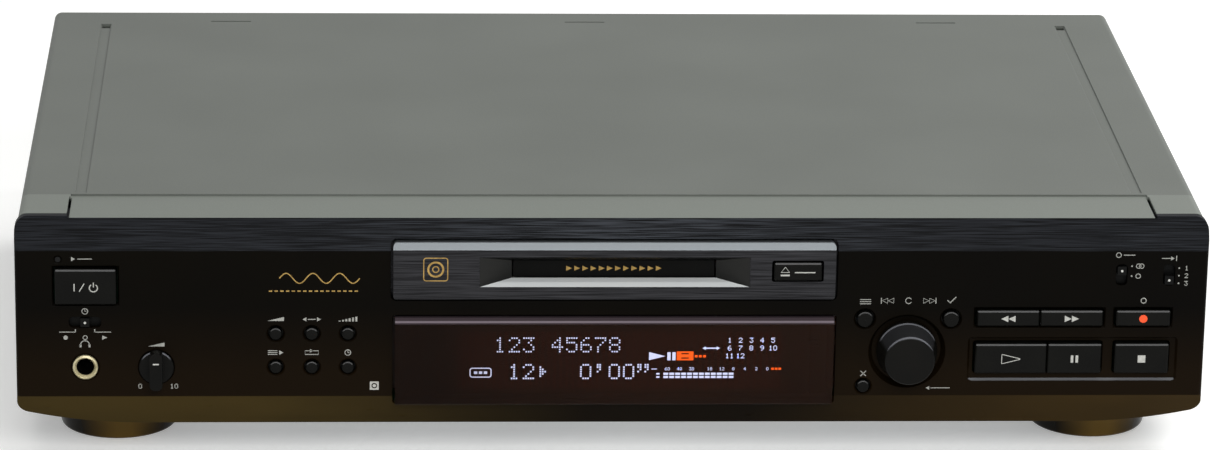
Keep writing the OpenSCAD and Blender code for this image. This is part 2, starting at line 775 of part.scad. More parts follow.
module panel_board()
  color("#7a5a2c") {
    difference() {
      union() {
        block([at(-209), board_y, floor_z + 4], [at(-84), board_back, 84]);
        block([at(-82), board_y, floor_z + 4], [at(208), board_back, 61]);
        block([at(54), board_y, 60], [at(208), board_back, 83]);
      }
      // Cut-out for the phones jack
      block([jack_x - 7.5, board_y - eps, jack_z - 7.8],
        [jack_x + 7.5, board_back + eps, jack_z + 7.8]);
      for (p = post_places)
        bar_y(p[0], board_y - eps, p[1], screw_r + 0.2, board_t + 2 * eps);
    }
    for (p = button_places)
      tact_switch(p[0], p[1]);
    slide_body(timer_x, timer_z, timer_slot_l + 4, 7);
    for (x = [mode_x, input_x])
      slide_body(x, mode_z, 7, mode_slot_l + 4);
    // Standby lamp
    bar_y(lamp_x, 0.3, lamp_z, lamp_d / 2, board_y - 0.3);
    // Screws that hold the boards on the posts
    for (p = post_places)
      bar_y(p[0], board_y - 5, p[1], screw_r - 0.05, board_t + 5 + 0.4);
    for (p = post_places)
      bar_y(p[0], board_back, p[1], post_r, 1.6);
    // Bodies of the level control and of the jog knob's turning switch
    for (c = [[level_x, jack_z, 5.8], [jog_x, jog_z, 6.5]])
      difference() {
        union() {
          block([c[0] - c[2], pot_y + 1, c[1] - c[2]], [c[0] + c[2], board_y, c[1] + c[2]]);
          bar_y(c[0], pot_y, c[1], shaft_r + 1.4, 2);
        }
        bar_y(c[0], pot_y - eps, c[1], shaft_r + run_gap, board_y - pot_y - 1 + eps);
      }
  }

module phones_jack()
  color("#c8b880") difference() {
  union() {
    block([jack_x - 6.5, wall_t + 0.2, jack_z - 7], [jack_x + 6.5, plug_l + 2, jack_z + 7]);
    turned(jack_x, jack_z) polygon([[0, -0.6], [jack_ring_d / 2 - 0.6, -1], [jack_ring_d / 2, -0.4],
      [jack_ring_d / 2, wall_t + 1], [0, wall_t + 1]]);
  }
  turned(jack_x, jack_z)
    polygon([[0, -2], [plug_d / 2 + 1.4, -2], [plug_d / 2 + 0.5, -0.6], [plug_d / 2, 0.2],
      [plug_d / 2, plug_l], [0, plug_l]]);
}

pot_y = 6.3;

// == push buttons ==

// A long cap with bevelled front edges, two flanges and a stem
module bar_cap(x0, z, w, h, proud, low_flange = 1, high_flange = 1, tone = "#1d1e1e")
  color(tone) {
    x = x0 + w / 2;
    union() {
      intersection() {
        translate([x, 0, z]) from_front(-proud, proud + wall_t + 1) polygon(round_rect(w, h, 0.7));
        union() {
          funnel(x, z, w - 2 * cap_bevel, h - 2 * cap_bevel, cap_bevel - proud, -proud,
            cap_bevel, cap_bevel, cap_bevel, cap_bevel);
          block([x0, cap_bevel - proud, z - h / 2], [x0 + w, wall_t + 1, z + h / 2]);
        }
      }
      block([x0 + 2, wall_t + fit_gap, z - h / 2 - 1.2 * low_flange],
        [x0 + w - 2, wall_t + 1.4, z + h / 2 + 1.2 * high_flange]);
      block([x - 1.6, wall_t + 1, z - 1.6], [x + 1.6, stem_y, z + 1.6]);
    }
  }

// A round cap with a soft edge, a flange and a stem
module round_cap(x, z, d, proud)
  color("#1d1e1e")
  turned(x, z) polygon(concat(
    [[0, -proud - 0.15]],
    [for (i = [0:3]) let (a = 90 - 30 * i)
      [d / 2 - 0.6 + 0.6 * cos(a), 0.6 - proud - 0.6 * sin(a)]],
    [[d / 2, wall_t + fit_gap], [d / 2 + 1.1, wall_t + fit_gap],
      [d / 2 + 1.1, wall_t + 1.4], [1.4, wall_t + 1.4], [1.4, stem_y], [0, stem_y]]
  ));

module power_button() bar_cap(power_x - power_w / 2, power_z, power_w, power_cap_h, cap_proud);
module small_button(i, j)
  round_cap(small_x + i * small_pitch_x, small_top_z - j * small_pitch_z, small_d, 0.8);
module fader_button() small_button(0, 0);
module scroll_button() small_button(1, 0);
module level_button() small_button(2, 0);
module play_mode_button() small_button(0, 1);
module repeat_button() small_button(1, 1);
module time_button() small_button(2, 1);
module menu_button() round_cap(jog_x - menu_dx, jog_z + menu_dz, menu_d, 1.2);
module yes_button() round_cap(jog_x + menu_dx, jog_z + menu_dz, menu_d, 1.2);
module clear_button() round_cap(jog_x - menu_dx, jog_z - clear_dz, small_d, 0.8);
module rewind_button() bar_cap(wind_x, wind_z, wind_w, wind_h, cap_proud - 0.4);
module forward_button() bar_cap(wind_x + wind_w + pair_gap, wind_z, wind_w, wind_h, cap_proud - 0.4);
module record_button() bar_cap(right_x, wind_z, right_w, wind_h, cap_proud - 0.4);
module play_button() bar_cap(play_x, play_z, play_w, play_h, cap_proud);
module pause_button() bar_cap(play_x + play_w + pair_gap, play_z, pause_w, play_h, cap_proud);
module stop_button() bar_cap(right_x, play_z, right_w, play_h, cap_proud);

// The eject cap stands in the loading bezel
module eject_button()
  color("#1d1e1e") union() {
  x = eject_x + eject_w / 2;
  intersection() {
    translate([x, 0, eject_z]) from_front(-eject_front, eject_front + slot_depth + 0.6)
      polygon(round_rect(eject_w, eject_h, 0.7));
    union() {
      funnel(x, eject_z, eject_w - 2 * cap_bevel, eject_h - 2 * cap_bevel,
        cap_bevel - eject_front, -eject_front, cap_bevel, cap_bevel, cap_bevel, cap_bevel);
      block([eject_x, cap_bevel - eject_front, eject_z - eject_h / 2],
        [eject_x + eject_w, slot_depth + 0.6, eject_z + eject_h / 2]);
    }
  }
  block([eject_x + 1, slot_depth + fit_gap, eject_z - eject_h / 2 - 1.4],
    [eject_x + eject_w - 1, slot_depth + 1.2, eject_z + eject_h / 2 + 1.4]);
  block([x - 1.6, slot_depth + 1, eject_z - 1.6], [x + 1.6, stem_y, eject_z + 1.6]);
}
eject_front = bezel_proud + 1;

// == slide switches ==

// Lever with a shutter plate behind the slot and a foot in the switch body
module slide_lever(x, z, plate_w, plate_h)
  color("#26262a") union() {
  block([x - lever_l / 2, -0.6, z - lever_l / 2], [x + lever_l / 2, wall_t + 1, z + lever_l / 2]);
  block([x - plate_w / 2, wall_t + fit_gap, z - plate_h / 2],
    [x + plate_w / 2, wall_t + fit_gap + 0.8, z + plate_h / 2]);
  block([x - 1, wall_t + 1, z - 1], [x + 1, board_y - 2.4, z + 1]);
}

timer_plate = timer_slot_l + 2 * timer_step + 1;
module timer_switch() slide_lever(timer_x, timer_z, timer_plate, slot_w + 2);

mode_step = 3.4;
mode_rest_z = mode_z + mode_step / 2;
input_rest_z = mode_z - input_step;
module mode_switch() slide_lever(mode_x, mode_rest_z, slot_w + 2, 2 * mode_slot_l - 3);
module input_switch() slide_lever(input_x, input_rest_z, slot_w + 2, 2 * mode_slot_l - 4);

// == knobs ==

module level_knob()
  color("#1b1b1c") union() {
  turned(level_x, jack_z) polygon([[0, -1.2], [level_d / 2 - 0.4, -1.2], [level_d / 2, -0.8],
    [level_d / 2, level_floor_y - 0.4], [0, level_floor_y - 0.4]]);
  translate([level_x, 0, jack_z]) from_front(-level_proud, level_proud - 0.8)
    polygon(round_rect(level_bar_w, level_bar_l, level_bar_w / 2 - 0.4, 6));
  bar_y(level_x, 0, jack_z, shaft_r, board_y - 1.3);
}

jog_back_y = jog_floor_y - jog_travel - 0.4;
shaft_front_y = -jog_proud + 3;

module jog_knob()
  color("#1b1b1d") difference() {
  turned(jog_x, jog_z) polygon(concat(
    [[0, -jog_proud]],
    arc(jog_face_d / 2 - 0.9, 0.9 - jog_proud, 0.9, -90, -10, 5),
    [[jog_d / 2, -1.4], [jog_d / 2 + 0.3, -0.6], [jog_d / 2 + 0.3, jog_back_y], [0, jog_back_y]]
  ));
  turned(jog_x, jog_z)
    polygon([[shaft_r + 3, 0.2 - jog_proud / 2], [jog_face_d / 2 - 1.6, 0.2 - jog_proud / 2],
      [jog_d / 2 - 1.4, jog_back_y + eps], [shaft_r + 3, jog_back_y + eps]]);
  bar_y(jog_x, shaft_front_y - 0.2, jog_z, shaft_r + run_gap, jog_proud + 8);
}

module jog_shaft()
  color("#a8a8a8")
  bar_y(jog_x, shaft_front_y, jog_z, shaft_r, board_y - 1 - jog_travel - 0.3 - shaft_front_y);

// == sheet case ==

// Closed profile of the cover's bent sheet, seen from the front
function cover_points(inset) =
  let (w = cover_w / 2 - inset, r = max(bend_r - inset, 0.5), top = case_h - inset)
  concat(
    [[w, pan_z + 1]],
    arc(w - r, top - r, r, 0, 90, 8),
    arc(r - w, top - r, r, 90, 180, 8),
    [[-w, pan_z + 1]]
  );

module top_cover()
  color("#4a4b45") difference() {
  union() {
    from_front(cover_front_y, case_depth - cover_front_y)
      polygon(concat(cover_points(0), [for (i = [1:len(cover_points(sheet_t))])
        cover_points(sheet_t)[len(cover_points(sheet_t)) - i]]));
    // Front band and tongue, one step below the top
    block([-tongue_x, tongue_y, case_h - band_step - sheet_t],
      [tongue_x, band_end_y + sheet_t, case_h - band_step]);
    // Undersides of the pressed grooves
    for (side = [-1, 1])
      block([side * groove_x - groove_w / 2 - 0.4, groove_start_y, case_h - sheet_t - groove_d],
        [side * groove_x + groove_w / 2 + 0.4, groove_end_y, case_h - sheet_t + 0.1]);
    // Rear flange that laps the rear panel
    block([-cover_w / 2 + bend_r, case_depth - sheet_t, case_h - 14],
      [cover_w / 2 - bend_r, case_depth, case_h - 0.5]);
  }
  // The band's step
  block([-tongue_x, 0, case_h - band_step], [tongue_x, band_end_y, case_h + eps]);
  // Front lower corners, cut away behind the lifted ends of the panel
  along_x(-cover_w / 2 - eps, cover_w + 2 * eps)
    polygon([[0, 0], [corner_cut_y + 2, 0], [corner_cut_y + 2, pan_z + 1],
      [cover_front_y, panel_low_z + 7.5], [0, panel_low_z + 7.5]]);
  // Slits beside the tongue
  for (side = [-1, 1])
    block([side * tongue_x - 0.5, 0, case_h - 3], [side * tongue_x + 0.5, band_end_y - 2.7, case_h + eps]);
  // Stiffening grooves with a pocket at the rear end
  for (side = [-1, 1]) {
    block([side * groove_x - groove_w / 2, groove_start_y + 0.6, case_h - groove_d],
      [side * groove_x + groove_w / 2, groove_end_y - 0.6, case_h + eps]);
    block([side * groove_x - groove_w / 2 + 0.4, groove_end_y - 5, case_h - 3],
      [side * groove_x + groove_w / 2 - 0.4, groove_end_y - 1, case_h + eps]);
  }
  for (i = [-1:1])
    block([i * rear_slot_pitch - rear_slot_l / 2, case_depth - rear_slot_gap, case_h - 3],
      [i * rear_slot_pitch + rear_slot_l / 2, case_depth - rear_slot_gap + rear_slot_w, case_h + eps]);
  // Holes for the side and rear screws
  for (side = [-1, 1], y = side_screw_y)
    bar_x(side * cover_w / 2 - 3, y, side_screw_z, screw_hole_r, 6);
  for (x = rear_screw_x)
    bar_y(x, case_depth - 3, rear_screw_z, screw_hole_r, 6);
}
groove_start_y = 32;
groove_end_y = case_depth - 16;
side_screw_y = [60, case_depth - 60];
side_screw_z = floor_z + 7;
rear_screw_x = [-130, 0, 130];
rear_screw_z = case_h - 8;
screw_hole_r = 1.7;

module chassis_pan()
  color("#9a9c98") difference() {
  union() {
    translate([0, 0, pan_z]) linear_extrude(sheet_t)
      polygon([[-sweep_x, pan_front_y], [sweep_x, pan_front_y],
        [inside_w / 2, corner_cut_y], [inside_w / 2, inner_y],
        [-inside_w / 2, inner_y], [-inside_w / 2, corner_cut_y]]);
    // Side flanges
    for (side = [-1, 1])
      block([side * (inside_w - sheet_t) / 2 - sheet_t / 2, corner_cut_y, pan_z],
        [side * (inside_w - sheet_t) / 2 + sheet_t / 2, inner_y, floor_z + flange_h]);
    // Pressed ribs
    for (x = [-120, -20, 20, 120])
      block([x - 3, 90, floor_z - 0.1], [x + 3, case_depth - 60, floor_z + 1]);
    // Pillars that carry the boards and the disc mechanism
    for (p = pillar_places)
      bar_z(p[0], p[1], floor_z - 0.1, 3, p[2] - floor_z + 0.1);
  }
  // Cooling slots
  for (x = [trafo_x - 8:8:trafo_x + 32], y = [112, 150])
    block([x, y, pan_z - eps], [x + 3, y + 26, floor_z + 0.2]);
  for (x = [84:8:148])
    block([x, 214, pan_z - eps], [x + 3, 240, floor_z + 0.2]);
  for (p = pillar_places)
    bar_z(p[0], p[1], pan_z - eps, screw_r, p[2] - pan_z + 2 * eps);
  for (p = foot_places)
    bar_z(p[0], p[1], pan_z - eps, foot_screw_r + 0.1, 3);
  for (side = [-1, 1], y = side_screw_y)
    bar_x(side * inside_w / 2 - 3, y, side_screw_z, screw_r, 6);
  for (x = pan_screw_x)
    bar_z(x, pan_screw_y, pan_z - eps, screw_r + 0.1, 3);
}
foot_screw_r = 2;
foot_places = [for (x = [-1, 1], y = [foot_front_y, foot_rear_y]) [x * (panel_w / 2 - foot_inset), y]];
board_z = 24;
mech_posts = [for (x = [frame_x0 + 6.5, frame_x1 - 6.5],
  y = [frame_front_y + 6, frame_rear_y - 5.7]) [x, y]];
damper_h = 5;
trafo_x = at(-168);
board_side = at(209);
pillar_places = concat(
  [for (x = [76, board_side - 5], y = [34, 130, case_depth - 18]) [x, y, board_z]],
  [for (x = [trafo_x - 36, trafo_x + 34], y = [66, 166]) [x, y, board_z]],
  [for (p = mech_posts) [p[0], p[1], frame_z - damper_h]]
);

module rear_panel()
  color("#2b2c2b") difference() {
  union() {
    translate([0, 0, (pan_z + rear_top_z) / 2])
      from_front(inner_y + 0.02, rear_face_y - inner_y - 0.02)
        polygon(round_rect(inside_w, rear_top_z - pan_z, bend_r));
    // Lower flange that the pan is screwed to
    block([-inside_w / 2 + 3, inner_y - 4.4, floor_z + 0.02],
      [inside_w / 2 - 3, inner_y + 0.2, floor_z + sheet_t]);
  }
  for (p = line_places)
    bar_y(p[0], inner_y - eps, p[1], collar_r + fit_gap, 3);
  bar_y(coax_x, inner_y - eps, line_z, collar_r + fit_gap, 3);
  for (i = [-1, 1])
    block([optical_x + i * 8 - 5.2, inner_y - eps, line_z - 5.2],
      [optical_x + i * 8 + 5.2, case_depth + eps, line_z + 5.2]);
  bar_y(cord_x, inner_y - eps, cord_z, gland_r + run_gap, 3);
  for (x = rear_screw_x)
    bar_y(x, inner_y - eps, rear_screw_z, screw_r, 3);
  for (p = rear_fixings)
    bar_y(p[0], inner_y - eps, p[1], screw_r + 0.1, 3);
  for (x = pan_screw_x)
    bar_z(x, pan_screw_y, pan_z, screw_r, 5);
}
line_places = [for (i = [-1, 1], j = [-1, 1]) [line_x + i * socket_pitch / 2, line_z + j * socket_pitch / 2]];
rear_top_z = case_h - sheet_t - fit_gap;
gland_r = 7;
collar_r = socket_d / 2 + 0.3;
collar_y = rear_face_y + 0.1;
// Screws beside the sockets, and from below into the rear panel
rear_fixings = [[line_x, line_z], [coax_x, line_z + 9.5], [optical_x, line_z + 9.5]];
pan_screw_x = [at(-180), 0, at(180)];
pan_screw_y = inner_y - 2.2;

module phono_jacks()
  color("#d8d2c4") {
    // Block of four line sockets
    difference() {
      union() {
        block([line_x - socket_pitch, inner_y - 12, line_z - socket_pitch],
          [line_x + socket_pitch, inner_y, line_z + socket_pitch]);
        for (p = line_places)
          socket_shell(p[0], p[1]);
      }
      for (p = line_places)
        socket_bore(p[0], p[1]);
      bar_y(line_x, inner_y - 8, line_z, screw_r, 9);
    }
    // Single coaxial socket
    difference() {
      union() {
        block([coax_x - 7, inner_y - 12, line_z - 7], [coax_x + 7, inner_y, line_z + 12]);
        socket_shell(coax_x, line_z);
      }
      socket_bore(coax_x, line_z);
      bar_y(coax_x, inner_y - 8, line_z + 9.5, screw_r, 9);
    }
  }
module socket_shell(x, z)
  turned(x, z) polygon([[0, inner_y - 1], [collar_r, inner_y - 1], [collar_r, collar_y],
    [socket_d / 2, collar_y], [socket_d / 2, case_depth + socket_proud - 0.4],
    [socket_d / 2 - 0.4, case_depth + socket_proud], [0, case_depth + socket_proud]]);
module socket_bore(x, z)
  bar_y(x, inner_y - 3, z, 1.6, case_depth + socket_proud - inner_y + 4);

module optical_sockets()
  color("#141416")
  for (i = [-1, 1])
    difference() {
      union() {
        block([optical_x + i * 8 - 5, inner_y - 9, line_z - 5],
          [optical_x + i * 8 + 5, case_depth + 1.5, line_z + 5]);
        if (i == 1)
          block([optical_x - 13, inner_y - 9, line_z + 5 - eps],
            [optical_x + 13, inner_y, line_z + 12]);
      }
      // Mouth with its sprung shutter set back
      block([optical_x + i * 8 - 3.2, case_depth - 0.5, line_z - 3.2],
        [optical_x + i * 8 + 3.2, case_depth + 3, line_z + 3.2]);
      bar_y(optical_x, inner_y - 8, line_z + 9.5, screw_r, 9);
    }

module cord_gland()
  color("#161616") difference() {
  union() {
    bar_y(cord_x, inner_y - 7, cord_z, gland_r, rear_face_y - inner_y + 7.5);
    bar_y(cord_x, rear_face_y + 0.02, cord_z, gland_r + 2, 2);
    bar_y(cord_x, rear_face_y + 1.9, cord_z, gland_r - 1.5, 4);
    bar_y(cord_x, inner_y - 3, cord_z, gland_r + 1, 3);
  }
  bar_y(cord_x, inner_y - 8, cord_z, cord_d / 2, 20);
}

// A foot is a hollow moulded dish with a screw in its middle
module feet()
  color("#17150f")
  for (p = foot_places)
    translate([p[0], p[1], 0]) difference() {
      rotate_extrude($fn = 96) polygon(concat(
        [[0, 0]],
        arc(foot_base_d / 2 - 1.5, 1.5, 1.5, -90, -10, 5),
        [[foot_d / 2 - 1, foot_h * 0.62]],
        [[foot_d / 2, foot_h * 0.72], [foot_d / 2, foot_h], [0, foot_h]]
      ));
      bar_z(0, 0, -eps, foot_base_d / 2 - 6, foot_h - 6 + eps);
      bar_z(0, 0, foot_h - 7, foot_screw_r + 0.1, 8);
    }

// Pan-head screw along +Z with a cross recess; its head stands below z = 0
module screw(shank_r, shank_l, head_r, head_h)
  difference() {
    union() {
      translate([0, 0, -head_h]) cylinder(r1 = head_r * 0.85, r2 = head_r, h = head_h);
      bar_z(0, 0, -0.1, shank_r, shank_l + 0.1);
    }
    for (a = [0, 90])
      rotate([0, 0, a]) translate([-head_r * 0.55, -0.35, -head_h - eps])
        cube([head_r * 1.1, 0.7, head_h * 0.5 + eps]);
  }

module case_screws()
  color("#2a2a2a") {
    for (p = foot_places)
      translate([p[0], p[1], foot_h - 6]) screw(foot_screw_r, 6 + sheet_t, 4, 2);
    for (side = [-1, 1], y = side_screw_y)
      translate([side * cover_w / 2, y, side_screw_z]) rotate([0, -side * 90, 0])
        screw(screw_r - 0.05, 5, 2.8, 1);
    for (x = rear_screw_x)
      translate([x, case_depth, rear_screw_z]) rotate([90, 0, 0]) screw(screw_r - 0.05, 5, 2.8, 1.6);
    for (p = rear_fixings)
      translate([p[0], rear_face_y, p[1]]) rotate([-90, 0, 180]) screw(screw_r - 0.05, 7, 2.6, 1.4);
    for (x = pan_screw_x)
      translate([x, pan_screw_y, pan_z]) screw(screw_r - 0.05, 4, 2.6, 1.4);
  }

// == electronics ==

trafo_y = 226;
module power_transformer()
  color("#6d5a44") {
    z0 = floor_z;
    // Laminated core with its mounting feet
    difference() {
      union() {
        block([trafo_x - 29, trafo_y - 11, z0], [trafo_x + 29, trafo_y + 11, z0 + 48]);
        block([trafo_x - 36, trafo_y - 13, z0], [trafo_x + 36, trafo_y + 13, z0 + 1.2]);
      }
      for (s = [-1, 1])
        block([trafo_x + s * 14.5 - 5, trafo_y - 14, z0 + 9],
          [trafo_x + s * 14.5 + 5, trafo_y + 14, z0 + 39]);
    }
    // Bobbin with its windings
    difference() {
      translate([trafo_x, 0, z0 + 24]) from_front(trafo_y - 19, 38) polygon(round_rect(38.6, 29.4, 3));
      block([trafo_x - 9.6, trafo_y - 11.2, z0], [trafo_x + 9.6, trafo_y + 11.2, z0 + 48]);
    }
  }

module main_board()
  color("#2f6b3a") difference() {
  union() {
    block([70, 28, board_z], [board_side, inner_y - 1, board_z + board_t]);
    block([-board_side, 60, board_z], [trafo_x + 40, 172, board_z + board_t]);
  }
  for (p = pillar_places)
    bar_z(p[0], p[1], board_z - eps, screw_r + 0.2, 4);
}

board_top = board_z + board_t;
module can(x, y, r, h)
  bar_z(x, y, board_top, r, h);

module board_components()
  color("#303848") {
    translate([trafo_x, 0, 0]) {
      // Smoothing capacitors on the power board
      for (i = [0:2])
        can(20 * i - 28, 152, 8, 30 - 4 * i);
      for (i = [0:4])
        can(13 * i - 30, 128, 4, 12);
      // Mains fuse, relay and line filter
      block([-34, 72, board_top], [-10, 80, board_top + 8]);
      block([-2, 70, board_top], [16, 86, board_top + 16]);
      block([-34, 94, board_top], [-10, 112, board_top + 20]);
      // Regulators on their finned heat sink
      difference() {
        block([-4, 96, board_top], [34, 108, board_top + 34]);
        for (i = [0:6])
          block([i * 5.4 - 3, 98, board_top + 3], [i * 5.4, 109, board_top + 35]);
      }
      for (i = [0:2])
        block([i * 12, 91.2, board_top], [9.5 + i * 12, 96, board_top + 16]);
    }
    // Processors, converters and memory on the main board
    for (c = [[100, 80, 20], [150, 70, 16], [120, 130, 14], [170, 140, 12], [150, 190, 10]])
      block([c[0] - c[2] / 2, c[1] - c[2] / 2, board_top],
        [c[0] + c[2] / 2, c[1] + c[2] / 2, board_top + 2.2]);
    for (i = [0:5], j = [0:2])
      can(92 + i * 18, 162 + j * 24 + 6, 2.6 + (i % 2), 9);
    // Crystal and board connectors
    block([118, 100, board_top], [129, 104.6, board_top + 3.6]);
    for (y = [44, 110, 150])
      block([78, y, board_top], [83, y + 18, board_top + 6]);
    // Jack carriers that stand on the main board
    block([line_x - 13, inner_y - 15, board_top], [line_x + 13, inner_y - 12.1, line_z + 10]);
    block([coax_x - 6, inner_y - 15, board_top], [coax_x + 6, inner_y - 12.1, line_z + 8]);
    block([optical_x - 12, inner_y - 12, board_top], [optical_x + 12, inner_y - 9.1, line_z + 8]);
  }

// Flat cables that lie folded along the floor between the boards
module ribbon_cables()
  color("#dcdcd6") {
    // From the display board to the main board
    along_x(100, 16)
      polygon([[board_back, 30], [board_back + 14, 30], [board_back + 14, board_top],
        [board_back + 20, board_top], [board_back + 20, board_top + 0.4],
        [board_back + 14.4, board_top + 0.4], [board_back + 14.4, 30.4],
        [board_back, 30.4]]);
    // From the mechanism's floor to the main board
    translate([0, 62, 0]) rotate([90, 0, 0]) linear_extrude(14)
      polygon([[frame_x1, frame_z + 0.4], [frame_x1 + 6, frame_z + 0.4],
        [frame_x1 + 6, board_top],
        [78, board_top], [78, board_top + 0.4], [frame_x1 + 6.4, board_top + 0.4],
        [frame_x1 + 6.4, frame_z + 0.8], [frame_x1, frame_z + 0.8]]);
  }

// == disc mechanism ==

module mech_frame()
  color("#b4b6b4") difference() {
  union() {
    block([frame_x0, frame_front_y, frame_z], [frame_x1, frame_rear_y, frame_z + frame_t]);
    // Left wall that guides the cam slider and the holder's pins
    block([frame_x0, frame_front_y, frame_z], [frame_x0 + 1.2, frame_rear_y, roof_z + 1]);
    // Two uprights on the right
    for (y = right_pin_y)
      block([upright_x, y - 3.5, frame_z], [upright_x + upright_t, y + 3.5, roof_z + 1]);
    // Folded right and rear edges
    block([frame_x1 - frame_t, frame_front_y, frame_z], [frame_x1, frame_rear_y, frame_z + 6]);
    block([frame_x0, frame_rear_y - frame_t, frame_z], [frame_x1, frame_rear_y, frame_z + 24]);
    // Posts under the base unit
    for (p = base_posts)
      bar_z(p[0], p[1], frame_z, 2.2, base_z - frame_z);
    // Axles of the loading gears
    bar_z(loading_x, loading_y, frame_z, axle_r, 8);
    bar_z(pulley_gear_x, loading_y, frame_z, axle_r, 8.4);
  }
  // Window under the pickup
  block([8, disc_y - 12, frame_z - eps], [56, disc_y + 12, frame_z + frame_t + eps]);
  // Upright slots for the holder's pins
  for (y = left_pin_y)
    pin_slot(frame_x0 - 1, y, 4);
  for (y = right_pin_y)
    pin_slot(upright_x - 1, y, 4);
  for (p = mech_posts)
    bar_z(p[0], p[1], frame_z - eps, 2.3, 3);
  bar_z(motor_x, motor_y, frame_z - eps, 3.4, 3);
}
base_posts = [for (p = [[-26, 18], [frame_x1 - 2, 20.5]], s = [-1, 1]) [p[0], disc_y + s * p[1]]];

module pin_slot(x, y, l) {
  w = 2 * (pin_r + 0.1);
  block([x, y - w / 2, pin_z - lower_travel], [x + l, y + w / 2, pin_z]);
  bar_x(x, y, pin_z, w / 2, l);
  bar_x(x, y, pin_z - lower_travel, w / 2, l);
}

module mech_dampers()
  color("#3a2f2a")
  for (p = mech_posts)
    translate([p[0], p[1], 0]) difference() {
      rotate_extrude()
        polygon([[0, frame_z - damper_h + 0.02], [5, frame_z - damper_h + 0.02], [5, frame_z - 0.02],
          [2.2, frame_z - 0.02], [2.2, frame_z + frame_t + 0.02], [4, frame_z + frame_t + 0.02],
          [3.6, frame_z + 3.4], [0, frame_z + 3.4]]);
      bar_z(0, 0, frame_z - damper_h - 1, screw_r, 12);
    }

module base_unit()
  color("#a9abad") difference() {
  union() {
    block([-34, disc_y - 23, base_z + 0.02], [frame_x1, disc_y + 23, base_z + base_t]);
    // Tab for the sled motor and its gear
    block([8, disc_y - 35, base_z + 0.02], [36, disc_y - 21, base_z + base_t]);
    // Rod carriers
    for (s = [-1, 1], x = [12.5, rod_end_x - 1.5])
      block([x - 1.5, disc_y + s * rod_dy - 3, rod_z - 3], [x + 1.5, disc_y + s * rod_dy + 3, base_z + 0.1]);
    // Axle of the sled gear
    bar_z(sled_gear_x, sled_gear_y, sled_wheel_z - 0.6, axle_r, base_z - sled_wheel_z + 1);
  }
  // Window for the pickup and hole for the spindle
  block([11, disc_y - 12.6, base_z - eps], [rod_end_x + 2, disc_y + 12.6, base_z + 3]);
  bar_z(0, disc_y, base_z - eps, 5, 3);
  for (s = [-1, 1])
    bar_x(10, disc_y + s * rod_dy, rod_z, rod_r + 0.01, rod_end_x);
  for (p = base_posts)
    bar_z(p[0], p[1], base_z - eps, screw_r, 3);
  bar_z(sled_motor_x, sled_motor_y, base_z - eps, 2.2, 3);
}

module guide_rods()
  color("#d0d2d4") for (s = [-1, 1])
  bar_x(11.2, disc_y + s * rod_dy, rod_z, rod_r, rod_end_x - 11.2);

module drive_motors()
  color("#8c8f92") {
    // Spindle motor under the base unit
    difference() {
      translate([0, disc_y, base_z - 6.8]) rotate_extrude()
        polygon([[0, 0], [9.6, 0], [10.2, 0.6], [10.2, 6.8], [4.6, 6.8], [4.6, 8.6], [2.4, 8.6], [0, 8.6]]);
      bar_z(0, disc_y, base_z - 5, axle_r + run_gap, 8);
    }
    // Sled motor under the base unit's tab
    difference() {
      bar_z(sled_motor_x, sled_motor_y, base_z - 8.4, 5.4, 8.4);
      bar_z(sled_motor_x, sled_motor_y, base_z - 9, motor_shaft_r + run_gap, 7);
    }
    // Loading motor under the mechanism's floor
    difference() {
      translate([motor_x, motor_y, frame_z - 15]) rotate_extrude()
        polygon([[0, 0], [7.4, 0], [8, 0.6], [8, 14.95], [3.2, 14.95], [3.2, 16.5], [0, 16.5]]);
      bar_z(motor_x, motor_y, frame_z - 12, axle_r + run_gap, 20);
    }
  }

// Pinion on the sled motor's shaft
module sled_pinion()
  color("#cfd0d2")
  translate([sled_motor_x, sled_motor_y, 0]) union() {
    spur(motor_teeth, sled_wheel_z, 1.8, sled_motor_angle + 180, motor_shaft_r - 0.1);
    bar_z(0, 0, sled_wheel_z - 0.4, motor_shaft_r, base_z - 3 - sled_wheel_z);
  }
motor_shaft_r = 0.8;

// Tangent outline round two pulleys
function belt_points(r1, r2, x1, y1, x2, y2) =
  let (
    d = norm([x2 - x1, y2 - y1]),
    dir = atan2(y2 - y1, x2 - x1),
    lean = acos((r1 - r2) / d)
  )
  concat(
    arc(x1, y1, r1, dir + lean, dir + 360 - lean, 24),
    arc(x2, y2, r2, dir - lean, dir + lean, 14)
  );

belt_gap = 0.12;
module loading_belt()
  color("#101010")
  translate([0, 0, pulley_z + 0.6]) difference() {
    linear_extrude(1.2) polygon(belt_points(pulley_r + 1.2, motor_pulley_r + 1.2,
      pulley_gear_x, loading_y, motor_x, motor_y));
    translate([0, 0, -eps]) linear_extrude(3)
      polygon(belt_points(pulley_r + belt_gap, motor_pulley_r + belt_gap,
        pulley_gear_x, loading_y, motor_x, motor_y));
  }

// A grooved belt pulley
module pulley(r, bore)
  difference() {
    rotate_extrude() polygon([[0, 0], [r + 0.9, 0], [r + 0.9, 0.3], [r, 0.5], [r, 1.9], [r + 0.9, 2.1],
      [r + 0.9, 2.4], [0, 2.4]]);
    bar_z(0, 0, -eps, bore, 4);
  }

module motor_pulley()
  color("#d9d4c0") union() {
  translate([motor_x, motor_y, pulley_z]) pulley(motor_pulley_r, 0.6);
  bar_z(motor_x, motor_y, frame_z - 11, axle_r, pulley_z - frame_z + 12);
}

module pulley_gear()
  color("#e2dcc8")
  translate([pulley_gear_x, loading_y, 0]) union() {
    translate([0, 0, pulley_z]) pulley(pulley_r, axle_r + run_gap);
    spur(pinion_teeth, loading_wheel_z, pulley_z - loading_wheel_z + 0.1, 180, axle_r + run_gap);
  }

